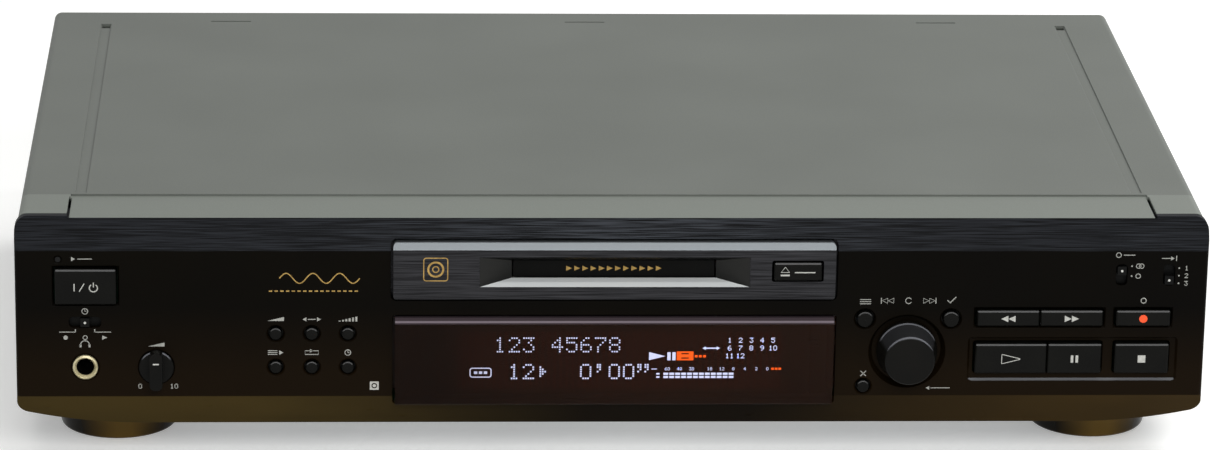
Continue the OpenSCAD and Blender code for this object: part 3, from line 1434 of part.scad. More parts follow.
module loading_wheel()
  color("#e2dcc8")
  translate([loading_x, loading_y, 0]) union() {
    spur(loading_wheel_teeth, loading_wheel_z, 1.7, 180 / loading_wheel_teeth, axle_r + run_gap);
    spur(pinion_teeth, loading_wheel_z + 1.6, loading_pinion_z + 2.4 - loading_wheel_z - 1.6, 180,
      axle_r + run_gap);
  }

// The slider that lowers the holder: a plate with inclined slots over a rack
module cam_slider()
  color("#e8e4d6") difference() {
  union() {
    block([cam_plate_x, cam_front_y, cam_foot_z], [cam_plate_x + cam_plate_t, cam_rear_y, pin_z + 3.4]);
    block([cam_plate_x, loading_y - cam_travel - 9, cam_foot_z],
      [cam_rack_x - 3, loading_y + 8, cam_foot_z + 2]);
    translate([cam_rack_x, loading_y, cam_foot_z]) rotate([0, 0, -90]) linear_extrude(2)
      polygon(rack_points(-4, 8, 4));
  }
  for (y = left_pin_y)
    cam_slot(y);
  // Lightening window
  block([cam_plate_x - 1, left_pin_y[0] + 8, frame_z + 14],
    [cam_plate_x + 3, left_pin_y[1] - 20, pin_z - 4]);
}
cam_foot_z = loading_pinion_z;
cam_front_y = left_pin_y[0] - cam_travel - 3.5;
cam_rear_y = left_pin_y[1] + 4;

// Sloping slot: as the slider runs to the rear by its travel the pin drops
module cam_slot(y) {
  w = 2 * (pin_r + 0.1);
  lean = atan(lower_travel / cam_travel);
  translate([cam_plate_x - 1, y, pin_z]) rotate([lean, 0, 0])
    block([0, -norm([cam_travel, lower_travel]), -w / 2], [4, 0, w / 2]);
  bar_x(cam_plate_x - 1, y, pin_z, w / 2, 4);
  bar_x(cam_plate_x - 1, y - cam_travel, pin_z - lower_travel, w / 2, 4);
}

module disc_holder()
  color("#c0c2c2") difference() {
  union() {
    // Bent sheet: roof, side walls and inward shelves
    from_front(holder_front_y, holder_l)
      polygon([[-holder_out_w / 2, shelf_z - holder_t], [3 - holder_out_w / 2, shelf_z - holder_t],
        [3 - holder_out_w / 2, shelf_z], [-holder_in_w / 2, shelf_z], [-holder_in_w / 2, roof_z],
        [holder_in_w / 2, roof_z], [holder_in_w / 2, shelf_z], [holder_out_w / 2 - 3, shelf_z],
        [holder_out_w / 2 - 3, shelf_z - holder_t], [holder_out_w / 2, shelf_z - holder_t],
        [holder_out_w / 2, roof_z + holder_t], [-holder_out_w / 2, roof_z + holder_t]]);
    // Stop at the rear end
    block([-20, holder_front_y + holder_l - holder_t, shelf_z + 1],
      [20, holder_front_y + holder_l, roof_z + holder_t]);
    // Pins that ride in the cam slots and the upright slots
    for (y = left_pin_y)
      bar_x(frame_x0 - 0.5, y, pin_z, pin_r, -holder_in_w / 2 - frame_x0 + 0.5);
    for (y = right_pin_y)
      bar_x(holder_in_w / 2, y, pin_z, pin_r, upright_x + upright_t + 0.5 - holder_in_w / 2);
  }
  // Window for the recording head
  block([inner_track - 6, disc_y - 8, roof_z - 1.6], [holder_out_w / 2 + 1, disc_y + 8, roof_z + 2]);
  // Slot of the catch
  block([catch_x - 1.3, catch_y - 4.4, roof_z - eps],
    [catch_x + 1.3, catch_y + catch_travel + 1.6, roof_z + 2]);
  // Round lightening holes
  for (y = [disc_y - 24, disc_y + 22])
    bar_z(4, y, roof_z - eps, 7, 3);
}
catch_x = 1.3 - holder_in_w / 2;
catch_y = disc_y + cartridge_l / 2 - catch_travel - 8;

module catch_slider()
  color("#e8e4d6") union() {
  block([catch_x - 1, catch_y - 4, roof_z + holder_t + 0.1],
    [catch_x + 14, catch_y + 8, roof_z + holder_t + 1.5]);
  block([catch_x - 1, catch_y - 4, slot_z - 1.5], [catch_x + 1, catch_y + 1, roof_z + holder_t + 0.6]);
}

module turntable()
  color("#cfd0d2")
  translate([0, disc_y, 0]) union() {
    bar_z(0, 0, base_z - 4.6, axle_r, disc_z - base_z + 4.6);
    translate([0, 0, disc_z - 2.4]) rotate_extrude()
      polygon([[0, 0], [7.6, 0], [8.2, 0.6], [8.2, 2.4], [6.4, 2.4], [6.4, 2], [2.6, 2],
        [2.4, 3.4], [1.6, 4.2], [0, 4.2]]);
  }

// Pickup sled with its lens, rod eyes, rack and the bracket of the head's arm
module optical_pickup()
  color("#3b3f45") {
    x = inner_track;
    difference() {
      union() {
        block([x - 3.3, disc_y - 11, rod_z - 4], [x + 20, disc_y + 11, rod_z + 4]);
        // Eyes on the main rod and fork on the other
        block([x + 2, disc_y - rod_dy - 3.4, rod_z - 3.2], [x + 18, disc_y - 10.5, rod_z + 3.2]);
        block([x + 5, disc_y + 10.5, rod_z - 3.2], [x + 13, disc_y + rod_dy + 3, rod_z + 3.2]);
        // Lens turret
        translate([x, disc_y, rod_z + 3.5]) intersection() {
          cylinder(r = 4.6, h = lens_z + 0.4 - rod_z - 3.5);
          translate([-3.2, -5, 0]) cube([10, 10, 20]);
        }
        // Bracket that reaches up beside the holder
        block([x + 19.5, disc_y - 5, rod_z - 3], [x + arm_reach + 1.6, disc_y + 5, rod_z - 0.5]);
        block([x + arm_reach - 1.2, disc_y - 5, rod_z - 3], [x + arm_reach + 1.6, disc_y + 5, arm_z - 3.4]);
        for (s = [-1, 1])
          block([x + arm_reach - 1.2, disc_y + s * 4.2 - 0.8, arm_z - 3.6],
            [x + arm_reach + 1.6, disc_y + s * 4.2 + 0.8, arm_z + 1.6]);
      }
      bar_x(x, disc_y - rod_dy, rod_z, rod_r + run_gap, 22);
      // Fork open at the side, round the second rod
      block([x, disc_y + rod_dy - 1.6, rod_z - rod_r - run_gap],
        [x + 22, disc_y + rod_dy + 4, rod_z + rod_r + run_gap]);
      bar_y(x + arm_reach + 0.2, disc_y - 6, arm_z, 0.8 + run_gap, 12);
      // Seat of the lens
      bar_z(x, disc_y, lens_z, 2.2, 4);
    }
    // Rack that the sled gear drives
    translate([sled_gear_x, rack_y, sled_pinion_z + 0.5]) rotate([0, 0, 180]) linear_extrude(2.4)
      polygon(rack_points(-1, 9, 2.3));
    // Lens
    bar_z(x, disc_y, lens_z, 2.15, 0.9);
  }

module sled_gear()
  color("#e2dcc8")
  translate([sled_gear_x, sled_gear_y, 0]) union() {
    spur(sled_wheel_teeth, sled_wheel_z, 1.8, sled_motor_angle + 180 / sled_wheel_teeth,
      axle_r + run_gap);
    spur(pinion_teeth, sled_wheel_z + 1.7, sled_pinion_z + 3.2 - sled_wheel_z - 1.7, 90,
      axle_r + run_gap);
  }

// Arm that carries the magnetic recording head over the cartridge
module head_arm()
  color("#b9bbbd") union() {
  px = arm_pivot_x + 0.2;
  bar_y(px, disc_y - 4.9, arm_z, 0.8, 9.8);
  translate([px, disc_y + 3, arm_z]) rotate([90, 0, 0]) cylinder(r = 1.5, h = 6);
  block([px - arm_reach, disc_y - 2.4, arm_z - 0.5], [px - 1, disc_y + 2.4, arm_z + 0.5]);
  block([px - arm_reach - 3, disc_y - 3.4, arm_z - 0.9], [px - arm_reach + 4, disc_y + 3.4, arm_z + 1.1]);
}

// == placement ==

// Every piece is drawn from the panel's flat face; this centres the deck's depth
module placed()
  translate([0, face_y, 0]) children();

placed() chassis_pan();
placed() rear_panel();
placed() top_cover();
placed() front_panel();
placed() loading_bezel();
placed() display_window();
placed() display_tube();
placed() tube_holder();
placed() panel_board();
placed() phones_jack();
placed() feet();
placed() case_screws();
placed() power_transformer();
placed() main_board();
placed() board_components();
placed() phono_jacks();
placed() optical_sockets();
placed() cord_gland();
placed() mech_frame();
placed() mech_dampers();
placed() base_unit();
placed() guide_rods();
placed() drive_motors();
placed() loading_belt();
placed() ribbon_cables();
placed() power_button();
placed() fader_button();
placed() scroll_button();
placed() level_button();
placed() play_mode_button();
placed() repeat_button();
placed() time_button();
placed() menu_button();
placed() yes_button();
placed() clear_button();
placed() rewind_button();
placed() forward_button();
placed() record_button();
placed() play_button();
placed() pause_button();
placed() stop_button();
placed() eject_button();
placed() timer_switch();
placed() mode_switch();
placed() input_switch();
placed() level_knob();
placed() jog_shaft();
placed() jog_knob();
placed() disc_flap();
placed() disc_holder();
placed() catch_slider();
placed() cam_slider();
placed() loading_wheel();
placed() pulley_gear();
placed() motor_pulley();
placed() turntable();
placed() optical_pickup();
placed() sled_gear();
placed() sled_pinion();
placed() head_arm();
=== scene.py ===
import math

import bpy
import numpy as np
from mathutils import Matrix, Vector


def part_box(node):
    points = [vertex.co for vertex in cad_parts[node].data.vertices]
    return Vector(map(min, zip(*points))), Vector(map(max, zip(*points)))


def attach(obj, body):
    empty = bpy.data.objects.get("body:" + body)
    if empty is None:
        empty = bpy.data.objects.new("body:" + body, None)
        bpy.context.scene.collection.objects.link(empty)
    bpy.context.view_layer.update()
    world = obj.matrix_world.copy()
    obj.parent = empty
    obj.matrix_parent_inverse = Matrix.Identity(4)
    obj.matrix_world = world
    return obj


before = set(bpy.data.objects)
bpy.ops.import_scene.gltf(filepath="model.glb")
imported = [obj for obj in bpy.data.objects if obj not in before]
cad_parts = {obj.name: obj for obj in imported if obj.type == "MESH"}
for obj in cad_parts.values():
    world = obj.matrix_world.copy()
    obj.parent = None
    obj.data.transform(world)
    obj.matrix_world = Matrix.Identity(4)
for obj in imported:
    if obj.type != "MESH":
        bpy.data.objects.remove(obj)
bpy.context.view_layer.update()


# == Camera ==
# A long lens looks down on the front from a little left of the middle. Its place is measured from the panel's flat
# face, and its lens is for a picture of 1219 by 450.
panel_low, panel_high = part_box("front_panel")
face_y = panel_low.y
LENS_MM, SENSOR_MM = 155.65, 36
YAW, PITCH, ROLL = math.radians(-3.075), math.radians(-18.355), math.radians(0.989)
CAMERA_X, CAMERA_AHEAD, CAMERA_Z = -0.0984, 1.7908, 0.6885

lens = bpy.data.cameras.new("long_lens")
lens.lens, lens.sensor_width, lens.sensor_fit = LENS_MM, SENSOR_MM, "HORIZONTAL"
camera = bpy.data.objects.new("camera", lens)
bpy.context.collection.objects.link(camera)
camera.matrix_world = (Matrix.Translation((CAMERA_X, face_y - CAMERA_AHEAD, CAMERA_Z)) @ Matrix.Rotation(YAW, 4, "Z")
                       @ Matrix.Rotation(math.pi / 2 + PITCH, 4, "X") @ Matrix.Rotation(ROLL, 4, "Z"))
bpy.context.scene.camera = camera


# == Cover ==
# One bent steel sheet, baked with a satin grey-green enamel. The enamel has a fine orange-peel grain, drifts a
# little in tone from one part of the sheet to the next, and the stepped band at the front is painted a shade lighter
# as a painted highlight.
MM = 0.001
NOISE_LOW, NOISE_HIGH = 0.3, 0.7  # Noise seldom leaves these values


def linear(colour):
    """An sRGB hex colour as linear RGBA: a channel c above 0.04045 is ((c + 0.055) / 1.055) ** 2.4, else c / 12.92."""
    srgb = np.array([int(colour[i:i + 2], 16) for i in (1, 3, 5)]) / 255
    rgb = np.where(srgb > 0.04045, ((srgb + 0.055) / 1.055) ** 2.4, srgb / 12.92)
    return (*rgb.tolist(), 1.0)


def add(tree, kind, sockets=None, **settings):
    """Adds one node. settings are its properties, and sockets gives inputs a value or another node's output."""
    node = tree.nodes.new(kind)
    for name, value in settings.items():
        setattr(node, name, value)
    for socket, source in (sockets or {}).items():
        if isinstance(source, bpy.types.NodeSocket):
            tree.links.new(source, node.inputs[socket])
        else:
            node.inputs[socket].default_value = source
    return node


def grain(tree, size, along=(1, 1, 1), detail=2.0):
    """Noise from 0 to 1 whose spots are size mm across, drawn out by the factors in along."""
    where = add(tree, "ShaderNodeTexCoord").outputs["Object"]
    drawn = add(tree, "ShaderNodeMapping", {"Vector": where, "Scale": [1 / a for a in along]}).outputs[0]
    return add(tree, "ShaderNodeTexNoise", {"Vector": drawn, "Scale": 1 / (size * MM), "Detail": detail}).outputs[0]


def finish(name, dark, light, patch, rough, grit=0.0, depth=0.0, along=(1, 1, 1), edge=0.0, specular=0.5, **uniform):
    """A real surface: its colour goes from dark to light over spots patch mm across, its roughness goes through the
    two values of rough over its grain of grit mm, which stands depth mm high, and its edges are rounded by edge mm.
    The real grit of mouldings and brushing is too fine to show, and is drawn as coarse as it has to be."""
    material = bpy.data.materials.new(name)
    material.use_nodes = True
    tree = material.node_tree
    tree.nodes.clear()
    shader = add(tree, "ShaderNodeBsdfPrincipled", {"Specular IOR Level": specular, **uniform})
    add(tree, "ShaderNodeOutputMaterial", {"Surface": shader.outputs[0]})
    tone = add(tree, "ShaderNodeMapRange", {"Value": grain(tree, patch, along), "From Min": NOISE_LOW,
                                            "From Max": NOISE_HIGH}).outputs[0]
    tint = add(tree, "ShaderNodeMix", {0: tone, 6: linear(dark), 7: linear(light)}, data_type="RGBA")
    tree.links.new(tint.outputs[2], shader.inputs["Base Color"])
    texture = grain(tree, grit or patch, along, detail=3.0)
    worn = add(tree, "ShaderNodeMapRange", {"Value": texture, "From Min": NOISE_LOW, "From Max": NOISE_HIGH,
                                            "To Min": rough[0], "To Max": rough[1]})
    tree.links.new(worn.outputs[0], shader.inputs["Roughness"])
    soft = add(tree, "ShaderNodeBevel", {"Radius": edge * MM}, samples=4).outputs[0] if edge else None
    if depth:
        bump = add(tree, "ShaderNodeBump", {"Height": texture, "Distance": depth * MM})
        if soft:
            tree.links.new(soft, bump.inputs["Normal"])
        soft = bump.outputs[0]
    if soft:
        tree.links.new(soft, shader.inputs["Normal"])
    return material


def zone(tree, axis, low, high, soft=0.1):
    """1 where the Object coordinate on an axis (0, 1 or 2) is between low and high metres. Each edge is a ramp that
    reaches soft mm to both sides."""
    where = add(tree, "ShaderNodeTexCoord").outputs["Object"]
    value = add(tree, "ShaderNodeSeparateXYZ", {0: where}).outputs[axis]
    s = soft * MM
    rise = add(tree, "ShaderNodeMapRange", {"Value": value, "From Min": low - s, "From Max": low + s})
    fall = add(tree, "ShaderNodeMapRange", {"Value": value, "From Min": high - s, "From Max": high + s,
                                            "To Min": 1.0, "To Max": 0.0})
    return all_of(tree, rise.outputs[0], fall.outputs[0])


def all_of(tree, *masks):
    """The product of several masks: 1 where all of them are 1."""
    result = masks[0]
    for mask in masks[1:]:
        result = add(tree, "ShaderNodeMath", {0: result, 1: mask}, operation="MULTIPLY").outputs[0]
    return result


def lay_over(material, mask, colour, socket="Base Color"):
    """Lays a colour, or a number for another socket, over what the shader has there, as far as the mask is 1."""
    tree = material.node_tree
    under = tree.nodes["Principled BSDF"].inputs[socket]
    below = under.links[0].from_socket if under.links else under.default_value
    if isinstance(colour, str):
        mixed = add(tree, "ShaderNodeMix", {0: mask, 6: below, 7: linear(colour)}, data_type="RGBA").outputs[2]
    else:
        mixed = add(tree, "ShaderNodeMix", {0: mask, 2: below, 3: colour}).outputs[0]
    tree.links.new(mixed, under)


def coat(material, *nodes):
    """Gives CAD nodes this material in the place of their plain one."""
    for name in nodes:
        for material_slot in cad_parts[name].material_slots:
            material_slot.material = material


# Satin, so that lamps give it only broad soft lights
enamel = finish("baked_enamel_on_steel", "#535751", "#5a5e58", 70, (0.5, 0.6), 0.45, 0.012, edge=0.5, specular=0.4)
tree = enamel.node_tree
cover_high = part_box("top_cover")[1]
BAND_MM, BAND_REACH_MM = 30.5, 5
# Painted highlight: the stepped band at the front is a shade lighter
band = all_of(tree, zone(tree, 1, face_y, face_y + BAND_MM * MM),
              zone(tree, 2, cover_high.z - BAND_REACH_MM * MM, cover_high.z + BAND_REACH_MM * MM))
lay_over(enamel, band, "#686d66")
coat(enamel, "top_cover")


# == Rear and floor of the case ==
# The rear sheet is black enamelled steel. The floor is galvanised steel, left bare, whose zinc froze in broad
# crystals that each lie at an angle of their own.

# Satin, and grey where light skims it
black_enamel = finish("black_enamel_on_steel", "#1f201e", "#262724", 50, (0.42, 0.52), 0.4, 0.01, edge=0.3)
coat(black_enamel, "rear_panel")

galvanised = finish("galvanised_steel", "#9b9fa1", "#b9bdbf", 30, (0.32, 0.5), 3.0, 0.004, edge=0.2, Metallic=1.0)
tree = galvanised.node_tree
SPANGLE_MM, SPANGLE_DARK, SPANGLE_ROUGH = 7, 0.5, 0.6


def cells(tree, size, **settings):
    """Outputs of a pattern of cells size mm across: each has a colour of its own and a distance from its middle."""
    where = add(tree, "ShaderNodeTexCoord").outputs["Object"]
    return add(tree, "ShaderNodeTexVoronoi", {"Vector": where, "Scale": 1 / (size * MM)}, **settings).outputs


# Some crystals are darker and duller than their neighbours
facet = add(tree, "ShaderNodeSeparateXYZ", {0: cells(tree, SPANGLE_MM)["Color"]}).outputs[0]
darker = add(tree, "ShaderNodeMath", {0: facet, 1: SPANGLE_DARK}, operation="MULTIPLY").outputs[0]
lay_over(galvanised, darker, "#7d8285")
lay_over(galvanised, facet, SPANGLE_ROUGH, "Roughness")
coat(galvanised, "chassis_pan")


# == Front panel ==
# One moulding of black ABS. The face is finely matt and its top strip is hairlined along its length. The chamfer
# under the crease has a painted warm brown reflection towards its ends, which fades out over the foot of the face.
FAR = 1.0  # Metres, past the deck on every side
LEAN = (0.2, 0.3)  # How far upwards a surface's normal leans where a bevel begins, and where it counts in full
STRIP_MM, CHAMFER_MM = 11.4, 12.3


def faces(tree, axis, start, full, normal="True Normal"):
    """0 where the normal's part along an axis is start, 1 where it is full, and a ramp between the two."""
    parts = add(tree, "ShaderNodeSeparateXYZ", {0: add(tree, "ShaderNodeNewGeometry").outputs[normal]}).outputs
    return add(tree, "ShaderNodeMapRange", {"Value": parts[axis], "From Min": start, "From Max": full}).outputs[0]


# Hardly glossy, so that the pale floor isn't mirrored in it
panel_black = finish("moulded_abs_black", "#040302", "#070502", 60, (0.42, 0.5), 0.25, 0.003, edge=0.35,
                     specular=0.035)
tree = panel_black.node_tree
crease_z = panel_low.z + CHAMFER_MM * MM
FOOT_BELOW_MM, FOOT_ABOVE_MM = 10, 14
# Painted reflection in warm brown: over the foot of the face, and darker over the chamfer
lay_over(panel_black, zone(tree, 2, crease_z - FOOT_BELOW_MM * MM, crease_z + FOOT_ABOVE_MM * MM, soft=20), "#1a1106")
chamfer = zone(tree, 2, 0, crease_z, soft=0.15)
lay_over(panel_black, chamfer, "#0f0903")
# The painted reflection is stronger at the left end, and uneven
REFLECTION_LEFT_MM, REFLECTION_RIGHT_MM = -70, 100
PATCH_MM, PATCH_FROM, PATCH_TO, PATCH_LEAST = 60, 0.35, 0.65, 0.75
patchy = add(tree, "ShaderNodeMapRange", {"Value": grain(tree, PATCH_MM, (1, 1, 0.3)), "From Min": PATCH_FROM,
                                          "From Max": PATCH_TO, "To Min": PATCH_LEAST}).outputs[0]
reflection_patches = all_of(tree, chamfer, patchy)
lay_over(panel_black, all_of(tree, reflection_patches, zone(tree, 0, -FAR, REFLECTION_LEFT_MM * MM, soft=60)), "#3f3317")
lay_over(panel_black, all_of(tree, reflection_patches, zone(tree, 0, REFLECTION_RIGHT_MM * MM, FAR, soft=50)), "#352811")
# Hairlines of the top strip, with a painted highlight over its middle
HAIRLINE_MM, HAIRLINE_RATIO, HAIRLINE_FROM, HAIRLINE_FULL = 0.22, 90, 0.44, 0.6
STRIP_HIGHLIGHT_MM = 60
strip = zone(tree, 2, panel_high.z - STRIP_MM * MM, FAR)
streaks = add(tree, "ShaderNodeMapRange", {"Value": grain(tree, HAIRLINE_MM, (HAIRLINE_RATIO, 1, 1), 1.0),
                                           "From Min": HAIRLINE_FROM, "From Max": HAIRLINE_FULL}).outputs[0]
lay_over(panel_black, strip, "#0a0b0d")
streaked = all_of(tree, strip, streaks)
lay_over(panel_black, streaked, "#222428")
# Painted highlight over the middle of the strip
lay_over(panel_black, all_of(tree, streaked, zone(tree, 0, -STRIP_HIGHLIGHT_MM * MM, STRIP_HIGHLIGHT_MM * MM, soft=50)), "#383b40")
# The lower wall of the dish round the play, pause and stop caps slopes upwards and has a painted pale highlight
dish_low, dish_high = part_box("play_button")[0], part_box("stop_button")[1]
REACH, SKIN, DISH_DEPTH = 2.6 * MM, 0.02 * MM, 2 * MM
dish = all_of(tree, zone(tree, 0, dish_low.x - REACH, dish_high.x + REACH),
              zone(tree, 2, dish_low.z - REACH, dish_low.z), zone(tree, 1, face_y + SKIN, face_y + DISH_DEPTH))
lay_over(panel_black, all_of(tree, dish, faces(tree, 2, *LEAN)), "#66676a")
coat(panel_black, "front_panel")


# == Loading bezel, flap and slot ==
# The bezel is aluminium, brushed along its length and anodised dark grey. The upward faces of its top bevel and of
# the lip of its funnel have painted highlights, and the inside of the funnel has painted shade. The flap behind it is
# black ABS with a row of small gold arrows.
bezel_low, bezel_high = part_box("loading_bezel")
# Brushing spreads each light into a streak across the lines
dark_anodised = finish("brushed_anodised_aluminium", "#0c0c0e", "#343437", 0.28, (0.3, 0.45), 0.2, 0.004,
                       along=(70, 1, 1), edge=0.2, Metallic=0.85)
tree = dark_anodised.node_tree
MOUTH_SIDE_MM, MOUTH_LOW_MM, MOUTH_HIGH_MM, FACE_SKIN_MM = 50, 5, 4.5, 0.3
# Painted shade: the inside of the funnel is darker than the face
funnel = all_of(tree, zone(tree, 1, bezel_low.y + FACE_SKIN_MM * MM, FAR),
                zone(tree, 0, -MOUTH_SIDE_MM * MM, MOUTH_SIDE_MM * MM, soft=1),
                zone(tree, 2, bezel_low.z + MOUTH_LOW_MM * MM, bezel_high.z - MOUTH_HIGH_MM * MM))
lay_over(dark_anodised, funnel, "#0a0a0a")
# Painted light: the funnel's sideways walls are a little lighter than the rest of its inside
parts = add(tree, "ShaderNodeSeparateXYZ", {0: add(tree, "ShaderNodeNewGeometry").outputs["True Normal"]}).outputs
SIDE_LEAN = 0.3
sideways = add(tree, "ShaderNodeMath", {0: parts[0]}, operation="ABSOLUTE").outputs[0]
sides = add(tree, "ShaderNodeMath", {0: sideways, 1: SIDE_LEAN}, operation="GREATER_THAN").outputs[0]
lay_over(dark_anodised, all_of(tree, funnel, sides), "#232322")
# Painted highlight: the upward faces of the top bevel are a pale metal
upward = faces(tree, 2, *LEAN)
lay_over(dark_anodised, all_of(tree, upward, zone(tree, 2, bezel_high.z - MOUTH_HIGH_MM * MM, FAR)), "#7d8285")


def lay_plain(material, mask, colour):
    """Lays a plain colour over a part of a metal material, which then has no metallic sheen there."""
    lay_over(material, mask, colour)
    lay_over(material, mask, 0.0, "Metallic")


# Painted highlight: the upward lip of the funnel is a plain near white
lay_plain(dark_anodised, all_of(tree, upward, funnel), "#f2f6f6")
coat(dark_anodised, "loading_bezel")

# Matt, so that the arrows stand out on it
flap_black = finish("moulded_abs_flap", "#070706", "#0b0b0a", 20, (0.35, 0.45), 0.2, 0.003, edge=0.2, specular=0.05)
coat(flap_black, "disc_flap")


def arrow(x, z, w, h, way=1):
    """A solid triangle round (x, z), w long and h high, that points right, or left where way is -1."""
    return [np.array([[x - way * w / 2, z - h / 2], [x + way * w / 2, z], [x - way * w / 2, z + h / 2]])]


def stroke(points, width, closed=False):
    """A line of even width along points, as one quad for each step. Each point is moved half the width to both sides,
    square to the line that joins its neighbours."""
    p = np.asarray(points, float)
    ahead = np.roll(p, -1, 0) - np.roll(p, 1, 0) if closed else np.gradient(p, axis=0)
    side = np.column_stack([-ahead[:, 1], ahead[:, 0]]) / np.linalg.norm(ahead, axis=1)[:, None] * width / 2
    left, right = p + side, p - side
    if closed:
        left, right = np.vstack([left, left[:1]]), np.vstack([right, right[:1]])
    return list(np.stack([right[:-1], right[1:], left[1:], left[:-1]], axis=1))


def arc(x, z, r, start=0.0, end=360.0, steps=24):
    """Points on a circle of radius r round (x, z), from one angle in degrees to the other, anticlockwise."""
    a = np.radians(np.linspace(start, end, steps, endpoint=abs(end - start) < 360))
    return np.column_stack([x + r * np.cos(a), z + r * np.sin(a)])


def ring(x, z, r, width, steps=16):
    """A circle of radius r round (x, z), drawn width mm thick."""
    return stroke(arc(x, z, r, steps=steps), width, closed=True)


def rounded(x, z, w, h, r, width, steps):
    """A frame w by h mm round (x, z), drawn width mm thick: a quarter circle of radius r at each corner in turn."""
    corners = ((1, 1, 0), (-1, 1, 90), (-1, -1, 180), (1, -1, 270))
    line = [arc(x + sx * (w / 2 - r), z + sz * (h / 2 - r), r, a, a + 90, steps) for sx, sz, a in corners]
    return stroke(np.vstack(line), width, closed=True)


INK_MM = 0.04


def lay_marks(name, outlines, surface_y, material, body):
    """Flat marks on a plane that faces the front. Each outline of n points (x, z), in mm, gives n points that stand
    INK_MM proud of the plane and n points half as far under it, with one face on each end and one on each edge."""
    vertices, sides, start = [], [], 0
    for outline in outlines:
        x, z = np.asarray(outline, float).T
        if np.sum(x * np.roll(z, -1) - np.roll(x, -1) * z) < 0:
            x, z = x[::-1], z[::-1]
        n = len(x)
        i = start + np.arange(n)
        j = np.roll(i, -1)
        near = np.column_stack([x * MM, np.full(n, surface_y - INK_MM * MM), z * MM])
        vertices += [near, near + [0, 1.5 * INK_MM * MM, 0]]
        sides += [i.tolist(), (i[::-1] + n).tolist(), *np.column_stack([i, i + n, j + n, j]).tolist()]
        start += 2 * n
    mesh = bpy.data.meshes.new(name)
    mesh.from_pydata(np.vstack(vertices).tolist(), [], sides)
    mesh.materials.append(material)
    piece = bpy.data.objects.new(name, mesh)
    bpy.context.collection.objects.link(piece)
    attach(piece, body)


# Metal powder in a clear binder: it shines softly and unevenly
gold_ink = finish("gold_screen_ink", "#8f7137", "#b59451", 1.5, (0.35, 0.5), Metallic=0.4)
ARROWS, ROW_END, SLOT_Z, ARROW_W, ARROW_H = 12, 16.2, 74.9, 2.1, 1.9
row = [m for x in np.linspace(-ROW_END, ROW_END, ARROWS) for m in arrow(x, SLOT_Z, ARROW_W, ARROW_H)]
lay_marks("flap_arrows", row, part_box("disc_flap")[0].y, gold_ink, "disc_flap")

# A disc in a frame at the bezel's left end
MARK_X, MARK_Z, MARK_W = -64.4, 77.3, 8.6
mark = (rounded(MARK_X, MARK_Z, MARK_W, MARK_W, 0.9, 0.35, steps=6) + ring(MARK_X, MARK_Z, 2.7, 0.7, steps=24)
        + ring(MARK_X, MARK_Z, 1.1, 0.4))
lay_marks("gold_disc_mark", mark, bezel_low.y, gold_ink, "deck")


# == Display ==
# A smoked acrylic window over a vacuum fluorescent tube. The tube is a flat glass envelope with a dark filter. Its
# phosphor gives a bluish white, and a few signs are lit through a red filter.

# Brown through its thickness, and darker at its left end. A low IOR keeps the floor's mirror image out of it.
smoked = finish("smoked_acrylic", "#603e2b", "#6b4632", 80, (0.03, 0.06), edge=0.2, IOR=1.13,
                **{"Transmission Weight": 0.93})
tree = smoked.node_tree
window_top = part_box("display_window")[1].z
CROWN_MM, LINE_LOW_MM, LINE_HIGH_MM, LEFT_END_MM = 4, 2.6, 2.1, -52
lay_over(smoked, zone(tree, 0, -FAR, LEFT_END_MM * MM, soft=14), "#4e3120")
# The slanted upper edge is opaque and painted pale as a painted highlight, with a brighter painted highlight in one
# line where it meets the front
crown = all_of(tree, faces(tree, 2, *LEAN), zone(tree, 2, window_top - CROWN_MM * MM, FAR))
lay_over(smoked, crown, "#3c3337")
highlight_line = zone(tree, 2, window_top - LINE_LOW_MM * MM, window_top - LINE_HIGH_MM * MM)
lay_over(smoked, all_of(tree, crown, highlight_line), "#7d737a")
lay_over(smoked, crown, 0.0, "Transmission Weight")
coat(smoked, "display_window")


def stripes(tree, pitch):
    """A wave from 0 to 1 along x, pitch mm long. The texture turns through 20 radians in each unit of its scaled
    coordinate, and one wave is 2 pi radians, so the scale is 2 pi / (20 * pitch)."""
    where = add(tree, "ShaderNodeTexCoord").outputs["Object"]
    scale = 2 * math.pi / (20 * pitch * MM)
    return add(tree, "ShaderNodeTexWave", {"Vector": where, "Scale": scale}, bands_direction="X").outputs["Fac"]


# Dark glass. The control grid inside it has a very faint painted glow, and is drawn coarser than the real one so
# that it shows.
tube_glass = finish("tube_glass_with_filter", "#100705", "#180a08", 30, (0.12, 0.2), edge=0.3, specular=0.1)
tree = tube_glass.node_tree
tube_low, tube_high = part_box("display_tube")
GRID_MM, GRID_LEFT_MM, GRID_RIGHT_MM, GRID_EDGE_MM = 2.199, 6, 14, 3
GRID_TONE, GRID_PAINTED_GLOW = 0.5, 0.15
grid = all_of(tree, zone(tree, 0, tube_low.x + GRID_LEFT_MM * MM, tube_high.x - GRID_RIGHT_MM * MM),
              zone(tree, 2, tube_low.z + GRID_EDGE_MM * MM, tube_high.z - GRID_EDGE_MM * MM),
              add(tree, "ShaderNodeMath", {0: stripes(tree, GRID_MM), 1: GRID_TONE}, operation="MULTIPLY").outputs[0])
lay_over(tube_glass, grid, "#3a1c15")
lay_over(tube_glass, grid, GRID_PAINTED_GLOW, "Emission Strength")
tree.nodes["Principled BSDF"].inputs["Emission Color"].default_value = linear("#ff6a4a")
coat(tube_glass, "display_tube")
# Matt, so that it hardly shows behind the window
holder_black = finish("moulded_abs_holder", "#0c0c0c", "#131312", 15, (0.5, 0.6), 0.3, 0.004, edge=0.2)
coat(holder_black, "tube_holder")

